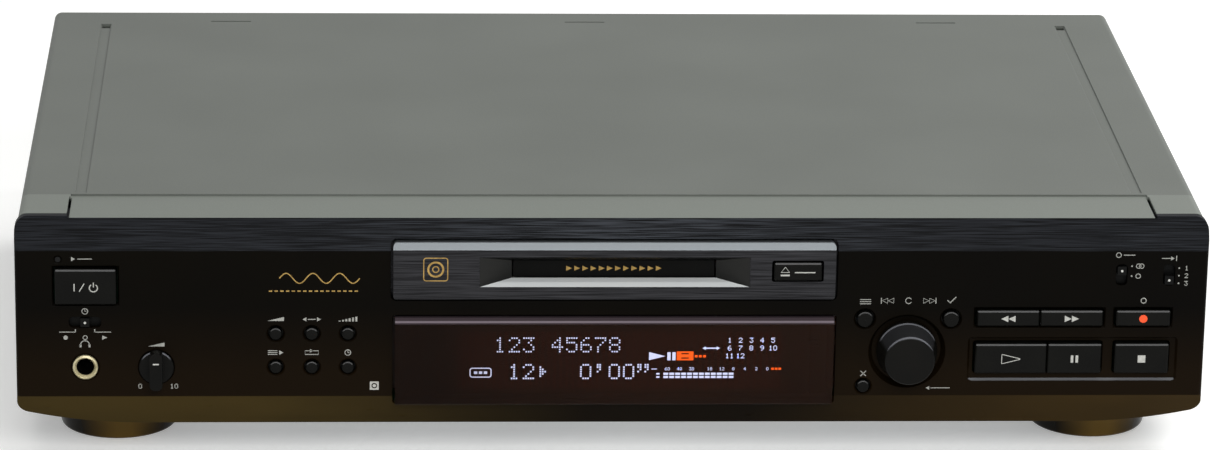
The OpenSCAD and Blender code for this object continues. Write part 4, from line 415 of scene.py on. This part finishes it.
# The rows of a 5 by 7 dot character, from the top, as binary numbers whose highest bit is the left dot
DOTS = {"0": (14, 17, 17, 17, 17, 17, 14), "1": (4, 12, 4, 4, 4, 4, 14), "2": (14, 17, 1, 2, 4, 8, 31),
        "3": (31, 2, 4, 2, 1, 17, 14), "4": (2, 6, 10, 18, 31, 2, 2), "5": (31, 16, 30, 1, 1, 17, 14),
        "6": (6, 8, 16, 30, 17, 17, 14), "7": (31, 1, 2, 4, 8, 8, 8), "8": (14, 17, 17, 14, 17, 17, 14),
        "9": (14, 17, 17, 15, 1, 2, 12), ">": (0, 8, 12, 14, 12, 8, 0), "'": (12, 12, 4, 8, 0, 0, 0),
        '"': (27, 27, 9, 18, 0, 0, 0), " ": (0,) * 7}
COLUMNS, ROWS = 5, 7
STEP = COLUMNS + 1


def dot_text(text, x, z, pitch, dot):
    """Characters from (x, z), their top left corner: one square for each lit dot, pitch mm apart and dot mm wide. The
    characters are six dots apart."""
    rows = np.array([DOTS[c] for c in text])
    lit = (rows[:, :, None] >> np.arange(COLUMNS - 1, -1, -1)) & 1
    character, row, column = np.nonzero(lit)
    cx = x + (STEP * character + column + 0.5) * pitch
    cz = z - (row + 0.5) * pitch
    h = dot / 2
    corners = ((-1, -1), (1, -1), (1, 1), (-1, 1))
    return list(np.stack([np.column_stack([cx + a * h, cz + b * h]) for a, b in corners], axis=1))


def numeral(text, x, z, height):
    """Small printed figures round (x, z): dot characters a seventh of the height in pitch, whose dots are so wide that
    they join."""
    pitch = height / ROWS
    width = (STEP * len(text) - 1) * pitch
    return dot_text(text, x - width / 2, z + height / 2, pitch, pitch * 1.04)


def bar(x0, z0, x1, z1):
    """Outline of an upright rectangle, in mm."""
    return [np.array([[x0, z0], [x1, z0], [x1, z1], [x0, z1]])]


def phosphor(name, dark, light, strength):
    """Phosphor that glows: emission from the same two tones, with the dots' slightly uneven light."""
    glow = finish(name, dark, light, 1.2, (0.5, 0.6), **{"Emission Strength": strength})
    tree = glow.node_tree
    shader = tree.nodes["Principled BSDF"]
    tree.links.new(shader.inputs["Base Color"].links[0].from_socket, shader.inputs["Emission Color"])
    return glow


# Strong and blue, because the brown window takes most of their light, and most of the blue
white_phosphor = phosphor("bluish_white_phosphor", "#649eff", "#70a8ff", 42.0)
red_phosphor = phosphor("red_filtered_phosphor", "#ff8a3a", "#ff9745", 9.0)

# Two lines of dot characters. The upper one is dimmer, so its dots are smaller.
DOT_PITCH, FAINT_DOT_MM, DOT_MM = 0.866, 0.55, 0.61
LINE_X, LINE_1_Z, LINE_2_Z = -43.0, 49.1, 38.8
marks = dot_text("123 45678", LINE_X, LINE_1_Z, DOT_PITCH, FAINT_DOT_MM)
marks += dot_text("12>  0'00\"", LINE_X + STEP * DOT_PITCH, LINE_2_Z, DOT_PITCH, DOT_MM)
# Round-cornered badge with three bars
BADGE_X, BADGE_Z, BADGE_STEP = -47.8, 35.4, 1.8
marks += rounded(BADGE_X, BADGE_Z, 7.6, 3.4, 0.8, 0.4, steps=5)
for x in (BADGE_X - BADGE_STEP, BADGE_X, BADGE_X + BADGE_STEP):
    marks += bar(x - 0.6, BADGE_Z - 0.5, x + 0.6, BADGE_Z + 0.5)
# Signs for play and pause
SIGN_LOW, SIGN_HIGH = 40.1, 43.2
marks += arrow(16.2, 41.7, 5.9, 3.1)
for x in (19.9, 21.7):
    marks += bar(x, SIGN_LOW, x + 1.2, SIGN_HIGH)
# An arrow with two heads
SPAN_LEFT, SPAN_RIGHT, SPAN_Z = 33.6, 38.0, 44.75
marks += (bar(SPAN_LEFT, SPAN_Z - 0.25, SPAN_RIGHT, SPAN_Z + 0.25) + arrow(SPAN_LEFT - 0.4, SPAN_Z, 1.2, 1.4, -1)
          + arrow(SPAN_RIGHT + 0.4, SPAN_Z, 1.2, 1.4))
# Calendar of tracks, in rows of five
TRACKS, TRACK_X, TRACK_Z, TRACK_STEP, TRACK_DROP = 12, 42.5, 47.8, 3.93, 3.0
for i in range(TRACKS):
    marks += numeral(str(i + 1), TRACK_X + TRACK_STEP * (i % 5), TRACK_Z - TRACK_DROP * (i // 5), 1.9)
# Level meter: two rows of bars, each with a sign at its left end, under a scale
METER_BARS, METER_X, METER_STEP, METER_BAR_W, METER_BAR_H = 12, 18.6, 2.16, 1.75, 0.84
METER_ROWS = (34.9, 33.65)
for i in range(METER_BARS):
    x = METER_X + METER_STEP * i
    for z in METER_ROWS:
        marks += bar(x, z - METER_BAR_H / 2, x + METER_BAR_W, z + METER_BAR_H / 2)
SCALE_Z, SCALE_H = 36.8, 1.15
SCALE = ((60, 20.0), (40, 24.4), (30, 28.8), (18, 35.4), (12, 39.8), (8, 44.0), (4, 48.2), (2, 52.4), (0, 56.4))
for value, x in SCALE:
    marks += numeral(str(value), x, SCALE_Z, SCALE_H)
for z in METER_ROWS:
    marks += bar(16.0, z - 0.3, 17.2, z + 0.3)
marks += bar(14.2, SCALE_Z - 0.2, 16.2, SCALE_Z + 0.1)
lay_marks("lit_white_signs", marks, tube_low.y, white_phosphor, "deck")

# Red block with a bar across its middle and a row of dots, and three dots at the end of the scale
BLOCK_LEFT, BLOCK_RIGHT, BLOCK_SIDE, BLOCK_Z, BLOCK_H = 23.3, 29.4, 1.7, 41.8, 3.4
block_low, block_high = BLOCK_Z - BLOCK_H / 2, BLOCK_Z + BLOCK_H / 2
marks = []
for z in (block_low, block_high - 0.6):
    marks += bar(BLOCK_LEFT, z, BLOCK_RIGHT, z + 0.6)
for x in (BLOCK_LEFT, BLOCK_RIGHT - BLOCK_SIDE):
    marks += bar(x, block_low + 0.6, x + BLOCK_SIDE, block_high - 0.6)
marks += bar(BLOCK_LEFT + BLOCK_SIDE, BLOCK_Z - 0.6, BLOCK_RIGHT - BLOCK_SIDE, BLOCK_Z + 0.6)
for xs, low, high in (((30.4, 31.9, 33.4), 41.2, 42.1), ((58.3, 59.6, 60.9), 36.4, 37.2)):
    marks += [m for x in xs for m in bar(x - 0.5, low, x + 0.5, high)]
lay_marks("lit_red_signs", marks, tube_low.y, red_phosphor, "deck")


# == Buttons ==
# Satin black ABS caps, each moulded with its stem. The signs on them are screen printed in pale grey, and the one
# for recording is orange.

# Smoother than the panel, so that each cap has a soft sheen
cap_black = finish("moulded_abs_cap", "#080807", "#0c0c0a", 12, (0.24, 0.32), 0.3, 0.002, edge=0.3, specular=0.07)
STEEP, FORWARDS = (0.35, 0.5), (-0.15, -0.3)  # As LEAN, upwards and towards the front


def worn_edge(material, colour):
    """The bevels of a moulding that face up and forwards and stand in front of the panel: a painted highlight in a
    pale colour.
    """
    tree = material.node_tree
    bevel = all_of(tree, faces(tree, 2, *STEEP, normal="Normal"), faces(tree, 1, *FORWARDS, normal="Normal"),
                   zone(tree, 1, -FAR, face_y))
    lay_over(material, bevel, colour)


# Painted highlight along the upper bevels of the caps
worn_edge(cap_black, "#565656")
coat(cap_black, *(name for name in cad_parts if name.endswith("_button")))
# Matt and opaque
grey_ink = finish("grey_screen_ink", "#a9a9a3", "#bcbcb6", 1.0, (0.5, 0.6))
orange_ink = finish("orange_screen_ink", "#f04a12", "#fa551a", 1.0, (0.45, 0.55))


def middle(node):
    """The middle of a node's box as x and z in mm, and the y of its front in metres."""
    low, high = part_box(node)
    return (low.x + high.x) / 2 / MM, (low.z + high.z) / 2 / MM, low.y


def cap_sign(button, outlines, ink=grey_ink):
    """Prints outlines, which are drawn round (0, 0), on the middle of a cap's front."""
    x, z, y = middle(button)
    lay_marks(button.replace("_button", "_sign"), [m + (x, z) for m in outlines], y, ink, button)


cap_sign("power_button", bar(-4.2, -1.4, -3.8, 1.4) + stroke([(-2.2, -1.5), (-0.4, 1.5)], 0.35)
         + stroke(arc(2.9, -0.15, 1.45, 125, 415, 20), 0.38) + bar(2.72, 0.1, 3.08, 1.9))
WIND_X, WIND_W, WIND_H = 1.3, 2.6, 2.4
for button, way in (("rewind_button", -1), ("forward_button", 1)):
    cap_sign(button, arrow(-WIND_X, 0, WIND_W, WIND_H, way) + arrow(WIND_X, 0, WIND_W, WIND_H, way))
cap_sign("record_button", [arc(0, 0, 1.5)], orange_ink)
play_outline = [(-3.3, -1.8), (-3.3, 1.8), (-3.2, 1.8), (3.4, 0.1), (3.4, -0.1), (-3.2, -1.8)]
cap_sign("play_button", stroke(play_outline, 0.26, closed=True))
cap_sign("pause_button", bar(-1.35, -1.4, -0.4, 1.4) + bar(0.4, -1.4, 1.35, 1.4))
cap_sign("stop_button", bar(-1.4, -1.4, 1.4, 1.4))
cap_sign("eject_button", stroke([(-6.2, -0.1), (-3.1, -0.1), (-4.65, 1.9)], 0.32, closed=True)
         + bar(-6.3, -1.5, -3.0, -0.9) + bar(-1.2, -0.35, 6.2, 0.05))


# == Switches, knobs and phones jack ==
# Slide levers and knobs are black ABS. Each lever has a pale dot moulded in its grip and the level knob a pale
# pointer. The jack's ring is brass with a pale gold plating, round a black moulded bore.
SWITCHES = ("timer_switch", "mode_switch", "input_switch")
# Finely matt, as a grip is
lever_black = finish("moulded_abs_lever", "#0a0a0a", "#0e0e0d", 6, (0.35, 0.45), 0.2, 0.002, edge=0.2, specular=0.07)
coat(lever_black, *SWITCHES)
# Matt and opaque, and paler than the ink
pale_plastic = finish("moulded_pale_plastic", "#b9b9b4", "#cacac4", 1.0, (0.4, 0.5))
for switch in SWITCHES:
    x, z, y = middle(switch)
    lay_marks(switch + "_dot", [arc(x, z, 0.45, steps=16)], y, pale_plastic, switch)

# Satin, with a painted highlight in a pale line along its upper edge
knob_black = finish("moulded_abs_knob", "#090908", "#0e0d0b", 15, (0.3, 0.4), 0.25, 0.002, edge=0.35, specular=0.07)
worn_edge(knob_black, "#66676c")
coat(knob_black, "level_knob", "jog_knob")
x, z, y = middle("level_knob")
lay_marks("level_pointer", bar(x - 1.1, z + 2.9, x + 1.1, z + 3.4), y, pale_plastic, "level_knob")

# Softly bright and nearly white, and dull black in the bore
jack_ring = finish("pale_gold_plating", "#c9be94", "#ddd3ac", 4, (0.25, 0.35), edge=0.2, Metallic=0.45)
RING_DEPTH_MM = 0.6
lay_plain(jack_ring, zone(jack_ring.node_tree, 1, face_y + RING_DEPTH_MM * MM, FAR), "#090908")
coat(jack_ring, "phones_jack")
# Bright, with fine turning marks
shaft_steel = finish("turned_steel", "#8d8f90", "#a6a8a9", 3, (0.25, 0.35), 0.2, 0.002, edge=0.1, Metallic=1.0)
coat(shaft_steel, "jog_shaft")


# == Legends on the panel ==
# Signs for what each control does, screen printed in thin pale grey ink that is only a few hundredths of a
# millimetre thick. Each stands over or beside its control.

# A little darker than the ink on the caps, because it is thinner
legend_ink = finish("thin_grey_screen_ink", "#92928c", "#a8a8a2", 1.0, (0.5, 0.6))
legends = []


def over(node, rise, outlines, shift=0.0):
    """Adds outlines, drawn round (0, 0), to the legends, rise mm over the middle of a control and shift mm right."""
    x, z, _ = middle(node)
    legends.extend(m + (x + shift, z + rise) for m in outlines)


def rule(x0, x1):
    """A level line 0.28 mm thick from x0 to x1."""
    return bar(x0, -0.14, x1, 0.14)


clock = ring(0, 0, 1.05, 0.28, steps=18) + bar(-0.12, 0, 0.12, 0.75) + bar(0, -0.12, 0.6, 0.12)
loop = stroke([(-2.4, -0.7), (-2.4, 0.7), (2.4, 0.7), (2.4, -0.7)], 0.28, closed=True) + arrow(0, 0.7, 1.3, 1.3)
wedge = [np.array([[-3, -0.6], [3, -0.6], [3, 0.9]])]
scroll = arrow(-2.6, 0, 1.4, 1.6, -1) + bar(-1.4, -0.16, 1.4, 0.16) + arrow(2.6, 0, 1.4, 1.6)
growing = [m for i in range(6) for m in bar(-3.3 + 1.2 * i, -0.8, -2.6 + 1.2 * i, -0.5 + 0.3 * i)]
queue = [m for i in range(3) for m in bar(-2.8, -0.8 + 0.7 * i, 0.6, -0.52 + 0.7 * i)] + arrow(2.0, 0, 1.5, 1.7)
lines = [m for i in range(3) for m in bar(-2.0, -0.9 + 0.8 * i, 2.0, -0.62 + 0.8 * i)]
tick = stroke([(-1.5, 0), (-0.5, -1.0), (1.6, 1.2)], 0.36)
cross = stroke([(-1.0, -1.0), (1.0, 1.0)], 0.32) + stroke([(-1.0, 1.0), (1.0, -1.0)], 0.32)
headphones = stroke(arc(0, -0.2, 1.6, 0, 180, 16), 0.3) + bar(-1.95, -1.1, -1.25, 0.1) + bar(1.25, -1.1, 1.95, 0.1)
for node, rise, sign in (("fader_button", 5.5, wedge), ("scroll_button", 5.5, scroll), ("level_button", 5.5, growing),
                         ("play_mode_button", 5.6, queue), ("repeat_button", 5.6, loop), ("time_button", 5.6, clock),
                         ("menu_button", 6.6, lines), ("yes_button", 7.2, tick), ("clear_button", 4.9, cross),
                         ("record_button", 6.5, ring(0, 0, 0.95, 0.3)), ("timer_switch", 4.2, clock),
                         ("phones_jack", 8.7, headphones), ("level_knob", 8.5, wedge)):
    over(node, rise, sign)
over("power_button", 10.2, arrow(-1.3, 0, 1.4, 1.6) + rule(0.2, 5.4), -3)
# Both ends of the level knob's turn
for value, shift in (("0", -5.9), ("10", 6.3)):
    over("level_knob", -7.3, numeral(value, 0, 0, 1.8), shift)
# Skip arrows over the jog knob, in outline, round the sign for turning it, and the sign for pushing it
JOG_RISE = 19.4
for way in (-1, 1):
    for x in (6.4 * way, 8.6 * way):
        over("jog_knob", JOG_RISE, stroke([(x - way, -0.95), (x - way, 0.95), (x + way, 0)], 0.26, closed=True))
    over("jog_knob", JOG_RISE, bar(way * 9.9 - 0.15, -1.1, way * 9.9 + 0.15, 1.1))
over("jog_knob", JOG_RISE, stroke(arc(0, 0, 1.1, 30, 330, 18), 0.28))
over("jog_knob", -14.1, rule(-3.5, 3.5) + arrow(-4.6, 0, 1.3, 1.5, -1), 12.6)
# Bracket lines and signs under the timer switch
over("timer_switch", -3.7, rule(-9.3, -3.4) + bar(-3.6, -0.14, -3.3, 1.1) + rule(3.4, 9.3) + bar(3.3, -0.14, 3.6, 1.1))
over("timer_switch", -5.8, [arc(-7.0, 0, 0.8, steps=16)] + ring(0, 0, 0.75, 0.26) + arrow(7.0, 0, 1.8, 1.6))
# Beside the mode switch two rings for stereo and one for mono, and numbers beside the input switch
MARK_DOT = 0.3
over("mode_switch", 5.9, ring(-1.4, 0, 0.9, 0.26) + rule(0.4, 4.6))
for rise, rings in ((1.7, (6.0, 7.1)), (-2.1, (6.0,))):
    over("mode_switch", rise, [arc(3.6, 0, MARK_DOT, steps=12)] + [m for x in rings for m in ring(x, 0, 0.85, 0.26)])
over("input_switch", 8.2, rule(-3.0, 0.3) + arrow(1.0, 0, 1.3, 1.5) + bar(2.2, -1.0, 2.5, 1.0))
for i in range(3):
    over("input_switch", 4.5 - 2.9 * i, [arc(3.5, 0, MARK_DOT, steps=12)] + numeral(str(i + 1), 6.2, 0, 1.75))
lay_marks("panel_legends", legends, face_y, legend_ink, "deck")

# A square pale mark at the foot of the face, with a dark ring printed over it
SQUARE_X, SQUARE_Z, SQUARE_W = -86.3, 32.3, 3.2
square = bar(SQUARE_X - SQUARE_W / 2, SQUARE_Z - SQUARE_W / 2, SQUARE_X + SQUARE_W / 2, SQUARE_Z + SQUARE_W / 2)
lay_marks("square_mark", square, face_y, grey_ink, "deck")
lay_marks("square_mark_ring", ring(SQUARE_X, SQUARE_Z, 0.85, 0.4), face_y - INK_MM * MM, panel_black, "deck")
# A gold wave of three turns over a row of gold dashes
WAVE_X, WAVE_L, WAVE_Z, WAVE_H, TURNS = -120.4, 28.8, 73.3, 1.9, 3
wave_x = np.linspace(WAVE_X, WAVE_X + WAVE_L, 60)
wave = np.column_stack([wave_x, WAVE_Z + WAVE_H * np.sin((wave_x - WAVE_X) / WAVE_L * TURNS * 2 * math.pi)])
DASHES, DASH_X, DASH_L, DASH_STEP, DASH_LOW, DASH_HIGH = 16, -124.2, 1.2, 2.05, 68.2, 68.7
dashes = [m for x in DASH_X + DASH_STEP * np.arange(DASHES) for m in bar(x, DASH_LOW, x + DASH_L, DASH_HIGH)]
lay_marks("gold_wave", stroke(wave, 0.4) + dashes, face_y, gold_ink, "deck")


# == Feet, screws and dampers ==
# Hollow feet moulded in black ABS with a polished side, and black-passivated steel screws that hold the case
# together. The dampers under the mechanism and its loading belt are soft black rubber.

# Glossier than the panel, with soft lights along its side
foot_black = finish("moulded_abs_foot", "#120d05", "#1c1407", 22, (0.18, 0.28), 0.3, 0.002, edge=0.4, specular=0.12)
tree = foot_black.node_tree
# The front of each foot has a painted warm reflection like the one on the chamfer above it, which fades to both sides
FADE_LEFT, FADE_RIGHT, FRONT = (-0.6, 0.0), (0.8, 0.25), (0.0, -0.01)
foot_reflection = all_of(tree, faces(tree, 0, *FADE_LEFT, normal="Normal"), faces(tree, 0, *FADE_RIGHT, normal="Normal"),
               faces(tree, 1, *FRONT, normal="Normal"))
lay_over(foot_black, foot_reflection, "#6e5522")
coat(foot_black, "feet")
# Dark, with a faint metallic sheen
black_zinc = finish("black_passivated_steel", "#1b1b1a", "#2a2a28", 2, (0.35, 0.5), 0.15, 0.003, edge=0.1,
                    Metallic=0.7)
coat(black_zinc, "case_screws")
# Dull all over
rubber = finish("moulded_rubber", "#0d0d0d", "#171716", 4, (0.7, 0.85), 0.15, 0.006, edge=0.2)
coat(rubber, "mech_dampers", "loading_belt")


# == Rear sockets and lead bushing ==
# Shells of nickel-plated brass round nylon rings, on a block of black plastic. The optical sockets and the bushing
# of the mains lead are moulded.
rear_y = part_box("rear_panel")[1].y
# Bright, and a little warmer than zinc
nickel = finish("nickel_plated_brass", "#b5b3ab", "#cbc9c1", 4, (0.16, 0.26), edge=0.1, Metallic=1.0)
tree = nickel.node_tree
SHEET_MM = 0.5
lay_plain(nickel, zone(tree, 1, 0, rear_y - SHEET_MM * MM), "#141413")


def round_spot(tree, x, z, radius):
    """1 within radius of the line through (x, z) that runs front to rear, all in mm: the root of dx * dx + dz * dz."""
    where = add(tree, "ShaderNodeTexCoord").outputs["Object"]
    flat = add(tree, "ShaderNodeVectorMath", {0: where, 1: (1, 0, 1)}, operation="MULTIPLY").outputs[0]
    apart = add(tree, "ShaderNodeVectorMath", {0: flat, 1: (x * MM, 0, z * MM)}, operation="DISTANCE").outputs["Value"]
    return add(tree, "ShaderNodeMath", {0: apart, 1: radius * MM}, operation="LESS_THAN").outputs[0]


# Nylon rings inside the shells: white for left, red for right and ochre for the digital socket
NYLON_R = 2.7
WHITE, RED, OCHRE = "#d9d7cf", "#a01f1a", "#c0701f"
for x, z, nylon in ((158, 69, WHITE), (172, 69, WHITE), (158, 55, RED), (172, 55, RED), (130, 62, OCHRE)):
    lay_plain(nickel, all_of(tree, round_spot(tree, x, z, NYLON_R), zone(tree, 1, rear_y, FAR)), nylon)
coat(nickel, "phono_jacks")
# Finely matt
socket_black = finish("moulded_nylon_black", "#0e0e0e", "#171716", 8, (0.4, 0.55), 0.25, 0.004, edge=0.2)
coat(socket_black, "optical_sockets", "cord_gland")


# == Power supply and boards ==
# A transformer of stacked steel sheets with taped windings, boards of green epoxy with copper tracks under the
# lacquer, and the parts soldered on them.

# Rough steel whose sheets show as fine lines along the stack
laminations = finish("stacked_transformer_steel", "#54514c", "#6b6862", 0.6, (0.45, 0.6), 0.5, 0.02, along=(40, 1, 40),
                     edge=0.2, Metallic=0.6)
tree = laminations.node_tree
trafo_low, trafo_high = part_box("power_transformer")
core_y, CORE_SIDE_MM = (trafo_low.y + trafo_high.y) / 2, 11.3
for tape in (zone(tree, 1, -FAR, core_y - CORE_SIDE_MM * MM), zone(tree, 1, core_y + CORE_SIDE_MM * MM, FAR)):
    lay_over(laminations, tape, "#a98a3a")
coat(laminations, "power_transformer")

# Glossy green with paler copper under it, drawn as a net of square cells
board_green = finish("lacquered_epoxy_board", "#123a24", "#1a4a2e", 12, (0.3, 0.4), 0.3, 0.003, edge=0.1)
tree = board_green.node_tree
TRACK_MM, TRACK_EDGE = 2.4, (0.42, 0.46)
middle_out = cells(tree, TRACK_MM, distance="MANHATTAN")["Distance"]
tracks = add(tree, "ShaderNodeMapRange", {"Value": middle_out, "From Min": TRACK_EDGE[0], "From Max": TRACK_EDGE[1]})
lay_over(board_green, tracks.outputs[0], "#2b6a3f")
coat(board_green, "main_board")

# The board behind the panel: black switches and controls before it, pale connectors behind it
switch_board = finish("lacquered_board_of_switches", "#123a24", "#1a4a2e", 12, (0.3, 0.4), 0.3, 0.003, edge=0.1,
                      specular=0.15)
tree = switch_board.node_tree
BOARD_FRONT_MM, BOARD_MM, LACQUER_MM = 13.0, 1.6, 0.1
lay_over(switch_board, zone(tree, 1, -FAR, face_y + (BOARD_FRONT_MM - LACQUER_MM) * MM), "#0a0a0a")
lay_over(switch_board, zone(tree, 1, face_y + (BOARD_FRONT_MM + BOARD_MM + LACQUER_MM) * MM, FAR), "#c9c3b0")
coat(switch_board, "panel_board")

# Black packages, and here and there the blue sleeve of a capacitor
component_mix = finish("capacitor_and_package_plastic", "#15171c", "#20242c", 8, (0.35, 0.5), 0.3, 0.004, edge=0.2)
tree = component_mix.node_tree
SLEEVE_MM, SLEEVE_FROM = 30, 0.72
chance = add(tree, "ShaderNodeSeparateXYZ", {0: cells(tree, SLEEVE_MM)["Color"]}).outputs[1]
sleeves = add(tree, "ShaderNodeMath", {0: chance, 1: SLEEVE_FROM}, operation="GREATER_THAN").outputs[0]
lay_over(component_mix, sleeves, "#1d3f6b")
coat(component_mix, "board_components")

# Pale film with the grey lines of its conductors, drawn coarser than the real ones
film = finish("ribbon_cable_film", "#c4c8c9", "#d6dadb", 6, (0.3, 0.4), edge=0.05)
tree = film.node_tree
CONDUCTOR_MM, CONDUCTOR_FROM = 6.283, 0.6
conductors = add(tree, "ShaderNodeMath", {0: stripes(tree, CONDUCTOR_MM), 1: CONDUCTOR_FROM}, operation="GREATER_THAN")
lay_over(film, conductors.outputs[0], "#8f9698")
coat(film, "ribbon_cables")


# == Disc mechanism ==
# Pressed and zinc-plated steel carries it, the plate under the disc is die cast, the rods are ground, the gears
# and sliders are moulded in acetal, and the motors have nickel-plated cans.

# Bright with a faint cloudy bloom
zinc_plate = finish("zinc_plated_steel", "#a7aaab", "#bcbfbf", 15, (0.28, 0.4), 0.8, 0.003, edge=0.2, Metallic=1.0)
coat(zinc_plate, "mech_frame", "disc_holder", "head_arm")
# Duller, with the grain of the mould
cast = finish("die_cast_zinc", "#7c7e7f", "#8f9192", 8, (0.45, 0.6), 0.3, 0.012, edge=0.3, Metallic=0.9)
coat(cast, "base_unit", "optical_pickup")
# Nearly a mirror, drawn out along the rod
ground = finish("ground_steel_rod", "#b4b6b7", "#c8cacb", 0.4, (0.1, 0.2), 0.2, 0.001, along=(8, 1, 1), Metallic=1.0)
coat(ground, "guide_rods", "turntable")
# A warmer grey than zinc
can = finish("nickel_plated_can", "#9d9a92", "#b3b0a7", 10, (0.2, 0.3), 0.5, 0.002, edge=0.2, Metallic=1.0)
coat(can, "drive_motors")
# Milky white, and light goes a little way into it
acetal = finish("moulded_acetal_natural", "#cfcdc2", "#dddbd1", 8, (0.35, 0.45), 0.3, 0.003, edge=0.15,
                **{"Subsurface Weight": 0.1, "Subsurface Radius": (0.001, 0.001, 0.0008)})
coat(acetal, "cam_slider", "catch_slider", "loading_wheel", "pulley_gear", "sled_gear")
# Yellow, with a clean bright turned side
brass = finish("turned_brass", "#a98c4a", "#c0a35c", 3, (0.22, 0.32), 0.2, 0.002, edge=0.1, Metallic=1.0)
coat(brass, "motor_pulley", "sled_pinion")


# == Floor and studio light ==
# A plain pale floor in an even pale surround. A wide soft lamp stands over the right rear, a second one lights the
# front, and a long narrow one over the front draws thin highlights along the edges.
FLOOR = 9
floor_mesh = bpy.data.meshes.new("studio_floor")
floor_mesh.from_pydata([(-FLOOR, -FLOOR, 0), (FLOOR, -FLOOR, 0), (FLOOR, FLOOR, 0), (-FLOOR, FLOOR, 0)], [],
                       [(0, 1, 2, 3)])
studio_floor = bpy.data.objects.new("studio_floor", floor_mesh)
bpy.context.collection.objects.link(studio_floor)
# Matt, so that nothing is mirrored in it
paper = finish("studio_paper", "#f3f3f1", "#f6f6f4", 200, (0.8, 0.9), specular=0.1)
floor_mesh.materials.append(paper)


def seen_rays(tree):
    """1 for rays of the camera, of mirror images and through glass, and 0 for those that carry light."""
    ray = add(tree, "ShaderNodeLightPath").outputs
    straight = add(tree, "ShaderNodeMath", {0: ray["Is Camera Ray"], 1: ray["Is Glossy Ray"]}, operation="MAXIMUM")
    through = {0: straight.outputs[0], 1: ray["Is Transmission Ray"]}
    return add(tree, "ShaderNodeMath", through, operation="MAXIMUM").outputs[0]


# To the eye the paper is a little lighter than the light on it makes it, and it keeps the deck's shadow
PAPER_LIFT = 0.3
tree = paper.node_tree
lift = add(tree, "ShaderNodeMath", {0: seen_rays(tree), 1: PAPER_LIFT}, operation="MULTIPLY").outputs[0]
tree.links.new(lift, tree.nodes["Principled BSDF"].inputs["Emission Strength"])
tree.nodes["Principled BSDF"].inputs["Emission Color"].default_value = linear("#ffffff")

for name, size, place, aim, watts in (("wide_lamp", (1.6, 1.0), (1.05, 0.45, 1.1), (0, 0, 0), 16.0),
                                      ("front_lamp", (1.0, 0.5), (0.1, -1.5, 0.95), (0, -0.13, 0.08), 14.0),
                                      ("edge_lamp", (1.6, 0.06), (0.0, -0.65, 1.35), (0, 0, 0), 4.0)):
    light = bpy.data.lights.new(name, "AREA")
    light.shape, light.size, light.size_y, light.energy = "RECTANGLE", *size, watts
    lamp = bpy.data.objects.new(name, light)
    bpy.context.collection.objects.link(lamp)
    turn = (Vector(place) - Vector(aim)).to_track_quat("Z", "Y")
    lamp.matrix_world = Matrix.Translation(place) @ turn.to_matrix().to_4x4()

AIR_LIGHT, AIR_SEEN = 0.3, 1.0
world = bpy.data.worlds.new("pale_surround")
bpy.context.scene.world = world
world.use_nodes = True
tree = world.node_tree
tree.nodes.clear()
level = add(tree, "ShaderNodeMapRange", {"Value": seen_rays(tree), "To Min": AIR_LIGHT, "To Max": AIR_SEEN}).outputs[0]
air = add(tree, "ShaderNodeBackground", {"Color": linear("#ffffff"), "Strength": level})
add(tree, "ShaderNodeOutputWorld", {"Surface": air.outputs[0]})
bpy.context.scene.view_settings.view_transform = "Standard"
